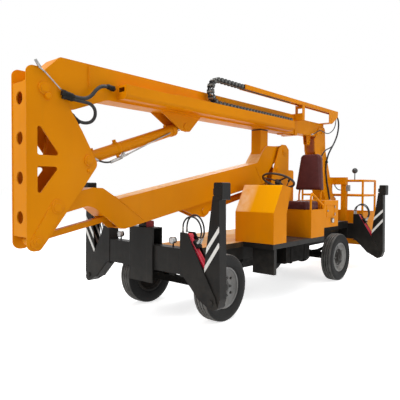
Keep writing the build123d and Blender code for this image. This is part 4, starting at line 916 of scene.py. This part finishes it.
runLine = [(chain["back"] + chain["backGap"], chain["y"], chain["low"]),
           (chain["turn"] - chain["turnGap"], chain["y"], chain["low"])]
links = {"Link": makeLink(chain["pitch"], chainLink), "Pitch": chain["pitch"], "Finish": chainPlastic}
chainRun = grow("chainLinksLow", linkTree, lineCarrier([runLine]), links, "upper_boom")
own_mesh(chainRun)
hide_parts("chain_run")
chainLoop = grow("chainLinksLoop", linkTree, lineCarrier([loopLine(chain)]), links, "chain_loop")
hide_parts("chain_loop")
print("drag chain laid")

# crimped hose end with a hex nut, in hose radii
fitting = dict(back=0.6, neck=1.1, rings=3, ringFrom=1.0, ringTo=1.9, ringGroove=2.2, ringStep=1.5, ring=1.42,
               groove=1.25, long=6.0, mouth=1.02, nutBack=0.8, nutFront=0.9, nut=1.7)


def lineOf(curve):
    bare = curve.copy()
    bare.bevel_depth = 0
    probe = addObject("probe", bare)
    points = [v.co.copy() for v in evaluatedMesh(probe).vertices]
    bpy.data.objects.remove(probe)
    return points


def hoseCurve(h):
    curve = bpy.data.curves.new(h["name"], "CURVE")
    curve.dimensions = "3D"
    spline = curve.splines.new("NURBS")
    spline.points.add(len(h["points"]) - 1)
    for point, place in zip(spline.points, h["points"]):
        point.co = (*place, 1)
    spline.order_u = 3
    spline.use_endpoint_u = True
    spline.resolution_u = 10
    curve.bevel_depth = h["thick"] / 2
    curve.bevel_resolution = 4
    curve.use_fill_caps = True
    curve.materials.append(hoseRubber)
    return curve


def makeFitting(end, inward, r, f):
    bm = bmesh.new()
    sleeve = [(-f["back"], 0.0), (-f["back"], f["neck"])]
    for k in range(f["rings"]):
        along = f["ringStep"] * k
        sleeve += [(f["ringFrom"] + along, f["ring"]), (f["ringTo"] + along, f["ring"]),
                   (f["ringGroove"] + along, f["groove"])]
    sleeve += [(f["long"], f["mouth"]), (f["long"], 0.0)]
    nut = [(-f["nutBack"], 0.0), (-f["nutBack"], f["nut"]), (f["nutFront"], f["nut"]), (f["nutFront"], 0.0)]
    turned(bm, [(distance * r, radius * r) for distance, radius in sleeve], end, inward, steps=14)
    turned(bm, [(distance * r, radius * r) for distance, radius in nut], end, inward, steps=6)
    return bm


# hydraulic hoses: a smooth curve with a crimped end at each fitting
def makeHose(h):
    curve = hoseCurve(h)
    points = lineOf(curve)
    hose = addObject(h["name"], curve)
    if "to" in h:
        # a hose that crosses a joint is kept as a plain mesh held by neither body; each end fitting goes to
        # the body at its end
        tube = evaluatedMesh(hose)
        bpy.data.objects.remove(hose)
        hose = addObject(h["name"], tube)
        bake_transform(hose)
    else:
        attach(hose, h["body"])
    for k in h.get("fittings", (0, 1)):
        end, inward = ((points[0], points[1] - points[0]), (points[-1], points[-2] - points[-1]))[k]
        bm = makeFitting(end, inward, h["thick"] / 2, fitting)
        name = h["name"] + ("EndB" if k else "EndA")
        body = h.get("to", h["body"]) if k else h["body"]
        finishMesh(bm, name, h.get("ends", zincPlate), body)


# two hoses arch over each leg's cylinder: rows are (share of the gap, y, z, the second hose's rise)
armHose = dict(thick=0.018, gap=0.030, arch=[
    (1.0, 0.591, 1.034, 0.0), (1.0, 0.590, 1.085, 0.0), (1.0, 0.603, 1.138, 0.008),
    (0.95, 0.646, 1.182, 0.014), (0.9, 0.710, 1.198, 0.016), (0.8, 0.774, 1.178, 0.012),
    (0.75, 0.820, 1.125, 0.006), (0.7, 0.838, 1.058, 0.0), (0.6, 0.826, 0.995, 0.0),
    (0.6, 0.788, 0.940, 0.0)])
hoses = []
for corner, (wheelX, side, legX) in corners.items():
    for k, gap in enumerate((armHose["gap"], -armHose["gap"])):
        hoses.append(dict(name="armHose" + str(k) + "_" + corner, body="chassis", to="barrel_" + corner,
                          thick=armHose["thick"], points=[(legX + gap * share, side * y, z + rise * k)
                                                          for share, y, z, rise in armHose["arch"]]))
hoses += [
    dict(name="crankHoseTop", body="bell_crank", to="upper_boom", thick=0.036, ends=chassisBlack, points=[
        (3.020, 0.156, 2.326), (2.955, 0.164, 2.312), (2.880, 0.168, 2.300), (2.800, 0.174, 2.303),
        (2.735, 0.176, 2.340), (2.690, 0.178, 2.400), (2.635, 0.178, 2.444), (2.575, 0.172, 2.457),
        (2.515, 0.155, 2.460), (2.460, 0.132, 2.460)]),
    dict(name="crankHoseLow", body="bell_crank", thick=0.032, ends=chassisBlack, points=[
        (3.012, 0.150, 2.296), (2.930, 0.164, 2.280), (2.830, 0.172, 2.274), (2.745, 0.174, 2.266),
        (2.692, 0.170, 2.222), (2.684, 0.162, 2.156), (2.716, 0.148, 2.100), (2.785, 0.128, 2.082),
        (2.855, 0.110, 2.105), (2.900, 0.103, 2.140)]),
    dict(name="upperBarrelHose", body="upper_barrel", thick=0.018, points=[
        (2.640, 0.074, 1.762), (2.560, 0.080, 1.735), (2.480, 0.080, 1.730), (2.390, 0.080, 1.752),
        (2.310, 0.072, 1.792), (2.260, 0.056, 1.838)]),
    dict(name="railEndHose", body="inner_boom", to="basket", thick=0.028, fittings=(0,), points=[
        (-2.445, 0.198, 2.792), (-2.530, 0.196, 2.765), (-2.590, 0.194, 2.690), (-2.600, 0.190, 2.580),
        (-2.565, 0.182, 2.440), (-2.480, 0.166, 2.300), (-2.385, 0.146, 2.180), (-2.310, 0.128, 2.070),
        (-2.285, 0.119, 1.960)]),
    dict(name="hangerHose", body="basket", thick=0.028, fittings=(1,), points=[
        (-2.285, 0.116, 1.950), (-2.262, 0.116, 1.850), (-2.272, 0.116, 1.740), (-2.316, 0.116, 1.580),
        (-2.384, 0.116, 1.420), (-2.432, 0.116, 1.300), (-2.450, 0.116, 1.200)]),
    dict(name="clevisHose", body="inner_boom", thick=0.016, points=[
        (-2.405, 0.224, 2.706), (-2.420, 0.216, 2.630), (-2.385, 0.200, 2.535), (-2.290, 0.177, 2.462),
        (-2.170, 0.162, 2.440), (-2.050, 0.159, 2.466), (-1.940, 0.153, 2.478), (-1.855, 0.137, 2.445),
        (-1.785, 0.119, 2.402), (-1.720, 0.113, 2.388)]),
    dict(name="branchHose", body="inner_boom", to="basket", thick=0.021, fittings=(1,),
         between=((-2.445, 0.198, 2.792), (-2.285, 0.119, 1.960)), points=[
        (-2.465, 0.163, 2.280), (-2.380, 0.168, 2.225), (-2.280, 0.165, 2.190), (-2.180, 0.152, 2.160),
        (-2.115, 0.134, 2.100), (-2.078, 0.118, 2.030), (-2.070, 0.112, 1.975)]),
    dict(name="postHose", body="basket", thick=0.017, points=[
        (-2.690, 0.090, 1.548), (-2.700, 0.110, 1.490), (-2.705, 0.160, 1.450), (-2.705, 0.215, 1.445),
        (-2.705, 0.262, 1.452)])]
for h in hoses:
    makeHose(h)
print("hoses:", len(hoses))

# valve block on each leg cylinder, where its hoses end: the cylinder's line from base to eye is (y, z)
valve = dict(base=(0.655, 0.990), eye=(0.962, 0.590), along=0.12, lift=0.047, size=(0.062, 0.085, 0.040),
             bevel=0.004, ports=((0.026, -0.026, 0), (0.026, 0.026, 0)),
             port=[(0.0, 0.011), (0.012, 0.011), (0.014, 0.008), (0.014, 0.0)])


def makeValve(legX, side, v):
    bm = bmesh.new()
    slab(bm, [-s / 2 for s in v["size"]], [s / 2 for s in v["size"]], v["bevel"])
    for place in v["ports"]:
        turned(bm, v["port"], place, (1, 0, 0), steps=6)
    run = Vector((0, v["eye"][0] - v["base"][0], v["eye"][1] - v["base"][1])).normalized()
    up = Vector((0, -run.z, run.y))
    turn = Matrix(((1, 0, 0), (0, run.y, up.y), (0, run.z, up.z))).to_4x4()
    middle = Vector((legX, *v["base"])) + run * v["along"] + up * v["lift"]
    bmesh.ops.transform(bm, matrix=Matrix.Translation(middle) @ turn, verts=bm.verts)
    if side < 0:
        bmesh.ops.transform(bm, matrix=Matrix.Scale(-1, 4, (0, 1, 0)), verts=bm.verts)
    return bm


for corner, (wheelX, side, legX) in corners.items():
    finishMesh(makeValve(legX, side, valve), "valveBlock_" + corner, chassisBlack, "barrel_" + corner)
print("valve blocks:", len(corners))

# seat pads: the CAD pad's shape, remeshed, blown up as cloth, with a piped rim
pads = [dict(name="seatCushionPad", node="seat_cushion", shrink=(0.972, 0.972, 0.95), anchor=2),
        dict(name="seatBackPad", node="seat_backrest", shrink=(0.92, 1.0, 1.0), anchor=0)]
padMaking = dict(weld=1e-5, voxel=0.006, quality=5, frames=20, pressure=4.0, cap=0.010, smoothings=6,
                 smooth=0.5, rimAt=0.70, rimWide=0.16, piping=0.004)


def blowUp(pad, m):
    # no point moves further than the cap
    scene = bpy.context.scene
    start = [v.co.copy() for v in pad.data.vertices]
    cloth = pad.modifiers.new("cloth", "CLOTH")
    cloth.settings.quality = m["quality"]
    cloth.settings.use_pressure = True
    cloth.settings.uniform_pressure_force = m["pressure"]
    cloth.settings.effector_weights.gravity = 0
    cloth.point_cache.frame_end = m["frames"]
    for step in range(1, m["frames"] + 1):
        scene.frame_set(step)
    blown = bpy.data.meshes.new_from_object(pad.evaluated_get(bpy.context.evaluated_depsgraph_get()))
    pad.modifiers.clear()
    scene.frame_set(1)
    for vert, was, now in zip(pad.data.vertices, start, blown.vertices):
        move = now.co - was
        if move.length > m["cap"]:
            move *= m["cap"] / move.length
        vert.co = was + move


def pipeRim(pad, face, m):
    # a raised bead where the surface turns from the face to the side
    bm = bmesh.new()
    bm.from_mesh(pad.data)
    for turn in range(m["smoothings"]):
        bmesh.ops.smooth_vert(bm, verts=bm.verts, factor=m["smooth"], use_axis_x=True, use_axis_y=True,
                              use_axis_z=True)
    bm.normal_update()
    for vert in bm.verts:
        ridge = 1 - abs(abs(vert.normal.dot(face)) - m["rimAt"]) / m["rimWide"]
        if ridge > 0:
            vert.co += vert.normal * (ridge * m["piping"])
    bm.to_mesh(pad.data)
    bm.free()


def makePad(p, m):
    bm = bmesh.new()
    bm.from_mesh(nodes[p["node"]].data)
    bmesh.ops.remove_doubles(bm, verts=bm.verts, dist=m["weld"])
    low, high = (Vector(v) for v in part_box(p["node"]))
    face = max(bm.faces, key=lambda f: f.calc_area()).normal.copy()
    middle = (low + high) / 2
    middle[p["anchor"]] = low[p["anchor"]]
    for vert in bm.verts:
        vert.co = Vector([c + (v - c) * s for c, v, s in zip(middle, vert.co, p["shrink"])])
    mesh = bpy.data.meshes.new(p["name"])
    bm.to_mesh(mesh)
    bm.free()
    pad = addObject(p["name"], mesh)
    remesh = pad.modifiers.new("remesh", "REMESH")
    remesh.mode = "VOXEL"
    remesh.voxel_size = m["voxel"]
    pad.data = evaluatedMesh(pad)
    pad.modifiers.clear()
    blowUp(pad, m)
    pipeRim(pad, face, m)
    pad.data.materials.clear()
    pad.data.materials.append(seatVinyl)
    pad.data.polygons.foreach_set("use_smooth", [True] * len(pad.data.polygons))
    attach(pad, "chassis")
    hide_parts(p["node"])


for p in pads:
    makePad(p, padMaking)
print("seat pads blown")

# lamps: rim and lens as (distance, share of the radius), at each place and facing
lamps = dict(radius=0.034, places=[((1.934, 0.433, 0.935), (1, 0, 0)), ((1.934, -0.433, 0.935), (1, 0, 0)),
                                   ((-1.098, 0.810, 1.002), (0, 1, 0))],
             rim=[(-0.030, 1.02), (-0.012, 1.06), (-0.004, 1.1), (0.002, 1.08), (0.003, 0.98), (-0.002, 0.93),
                  (-0.004, 0.9)],
             lens=[(-0.004, 0.95), (0.001, 0.85), (0.0045, 0.6), (0.0062, 0.3), (0.0066, 0.0)])


def makeLamps(l):
    rims, lenses = bmesh.new(), bmesh.new()
    for place, way in l["places"]:
        turned(rims, shares(l["rim"], l["radius"]), place, way, steps=32)
        turned(lenses, shares(l["lens"], l["radius"]), place, way, steps=32)
    finishMesh(rims, "lampRims", zincPlate, "chassis")
    finishMesh(lenses, "lampLenses", lampLens, "chassis", softAngle=60)


makeLamps(lamps)
print("lamps:", len(lamps["places"]))

# pipes, keepers, bosses, levers and hinges: body, finish, and rods as (start, end, radius)
smallParts = {
    "crankPipes": ("bell_crank", zincPlate, [
        ((3.279, 0.150, 2.566), (3.238, 0.150, 2.507), 0.014),
        ((3.187, 0.144, 2.478), (3.006, 0.144, 2.329), 0.006),
        ((3.238, 0.150, 2.507), (3.187, 0.144, 2.478), 0.008)]),
    "crankKeepers": ("bell_crank", machineYellow, [
        ((3.160, 0.130, 2.280), (3.160, 0.148, 2.280), 0.030),
        ((2.737, 0.130, 1.640), (2.737, 0.142, 1.640), 0.016)]),
    "crankBraces": ("bell_crank", machineYellow, [
        ((3.128, 0.0, 1.714), (3.016, -0.1215, 2.000), 0.014),
        ((3.098, -0.032, 1.790), (2.925, -0.1215, 1.782), 0.008)]),
    "barrelBosses": ("upper_barrel", machineYellow, [
        ((2.322, 0.0, 1.8785), (2.303, 0.0, 1.8848), 0.0745),
        ((2.330, 0.0, 1.925), (2.344, 0.0, 1.968), 0.020),
        ((2.330, 0.030, 1.830), (2.310, 0.050, 1.775), 0.017)]),
    "barrelPipe": ("upper_barrel", zincPlate, [
        ((2.440, 0.078, 1.738), (2.300, 0.074, 1.792), 0.016),
        ((2.300, 0.074, 1.792), (2.213, 0.072, 1.832), 0.010),
        ((2.213, 0.072, 1.832), (1.601, 0.072, 2.108), 0.0075)]),
    "dashLever": ("chassis", chassisBlack, [
        ((0.165, 0.742, 1.480), (0.112, 0.752, 1.575), 0.006),
        ((0.114, 0.752, 1.572), (0.106, 0.753, 1.590), 0.015),
        ((0.165, 0.640, 1.480), (0.128, 0.640, 1.520), 0.010)]),
    "cabinetLatch": ("chassis", zincPlate, [
        ((-0.950, 0.786, 1.150), (-0.950, 0.802, 1.150), 0.013),
        ((-0.962, 0.800, 1.150), (-0.938, 0.800, 1.150), 0.005),
        ((-1.190, 0.794, 1.075), (-1.190, 0.794, 1.110), 0.007),
        ((-1.190, 0.794, 1.185), (-1.190, 0.794, 1.220), 0.007)]),
    "hoseClip": ("basket", chassisBlack, [((-2.285, 0.096, 1.948), (-2.285, 0.134, 1.948), 0.020)])}
for name, (body, finish, rods) in smallParts.items():
    bm = bmesh.new()
    for start, end, radius in rods:
        rod(bm, start, end, radius)
    finishMesh(bm, name, finish, body)
print("small fittings:", len(smallParts))

# keeper plates before and behind the cradle's pad
padKeeper = dict(thick=0.006, under=0.008)


def makePadKeepers(k):
    low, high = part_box("cradle_pad")
    bm = bmesh.new()
    for x, out in ((low.x, -1), (high.x, 1)):
        near, far = sorted((x, x + out * k["thick"]))
        slab(bm, (near, low.y, low.z), (far, high.y, high.z - k["under"]))
    finishMesh(bm, "padKeepers", chassisBlack, "chassis")


makePadKeepers(padKeeper)
print("cradle pad held")

# weld seams on the booms' sides, mirrored to the far side
weld = dict(step=0.007, bead=0.0055)
seams = {"lower_boom": [[(-0.075, 0.105, 1.777), (-0.241, 0.105, 1.553)],
                        [(2.408, 0.105, 1.392), (2.041, 0.105, 1.146)]],
         "upper_boom": [[(2.724, 0.124, 2.640), (2.724, 0.124, 2.420)]]}
for body, lines in seams.items():
    lines = lines + [[(x, -y, z) for x, y, z in line] for line in lines]
    grow("weldSeams_" + body, beadTree, lineCarrier(lines),
         {"Step": weld["step"], "Bead": weld["bead"], "Finish": machineYellow}, body,
         softAngle=80)
print("welds laid")

# bolts: the turntable's ring, clear of the booms' middle, and both faces of each foot
ringBolts = dict(count=28, circle=0.283, x=-0.746, z=0.872, clear=0.19, size=0.026)
footBolts = dict(out=0.062, y=(1.048, 1.102), z=(1.415, 1.495), size=0.016)


def ringSpots(b):
    angles = [2 * math.pi * (k + 0.5) / b["count"] for k in range(b["count"])]
    places = [(b["x"] + b["circle"] * math.cos(a), b["circle"] * math.sin(a), b["z"]) for a in angles]
    return [(place, (0, 0, 1), b["size"]) for place in places if abs(place[1]) > b["clear"]]


def footSpots(legX, side, b):
    return [((legX + b["out"] * way, side * y, z), (way, 0, 0), b["size"])
            for way in (1, -1) for y in b["y"] for z in b["z"]]


grow("boltHeads_chassis", studTree, pointCarrier(ringSpots(ringBolts)), {"Stud": bolt, "Finish": zincPlate},
     "chassis")
for corner, (wheelX, side, legX) in corners.items():
    grow("footBolts_" + corner, studTree, pointCarrier(footSpots(legX, side, footBolts)),
         {"Stud": bolt, "Finish": chassisBlack}, "leg_" + corner)
print("bolts set")

for pattern in patterns:
    bpy.data.objects.remove(pattern)
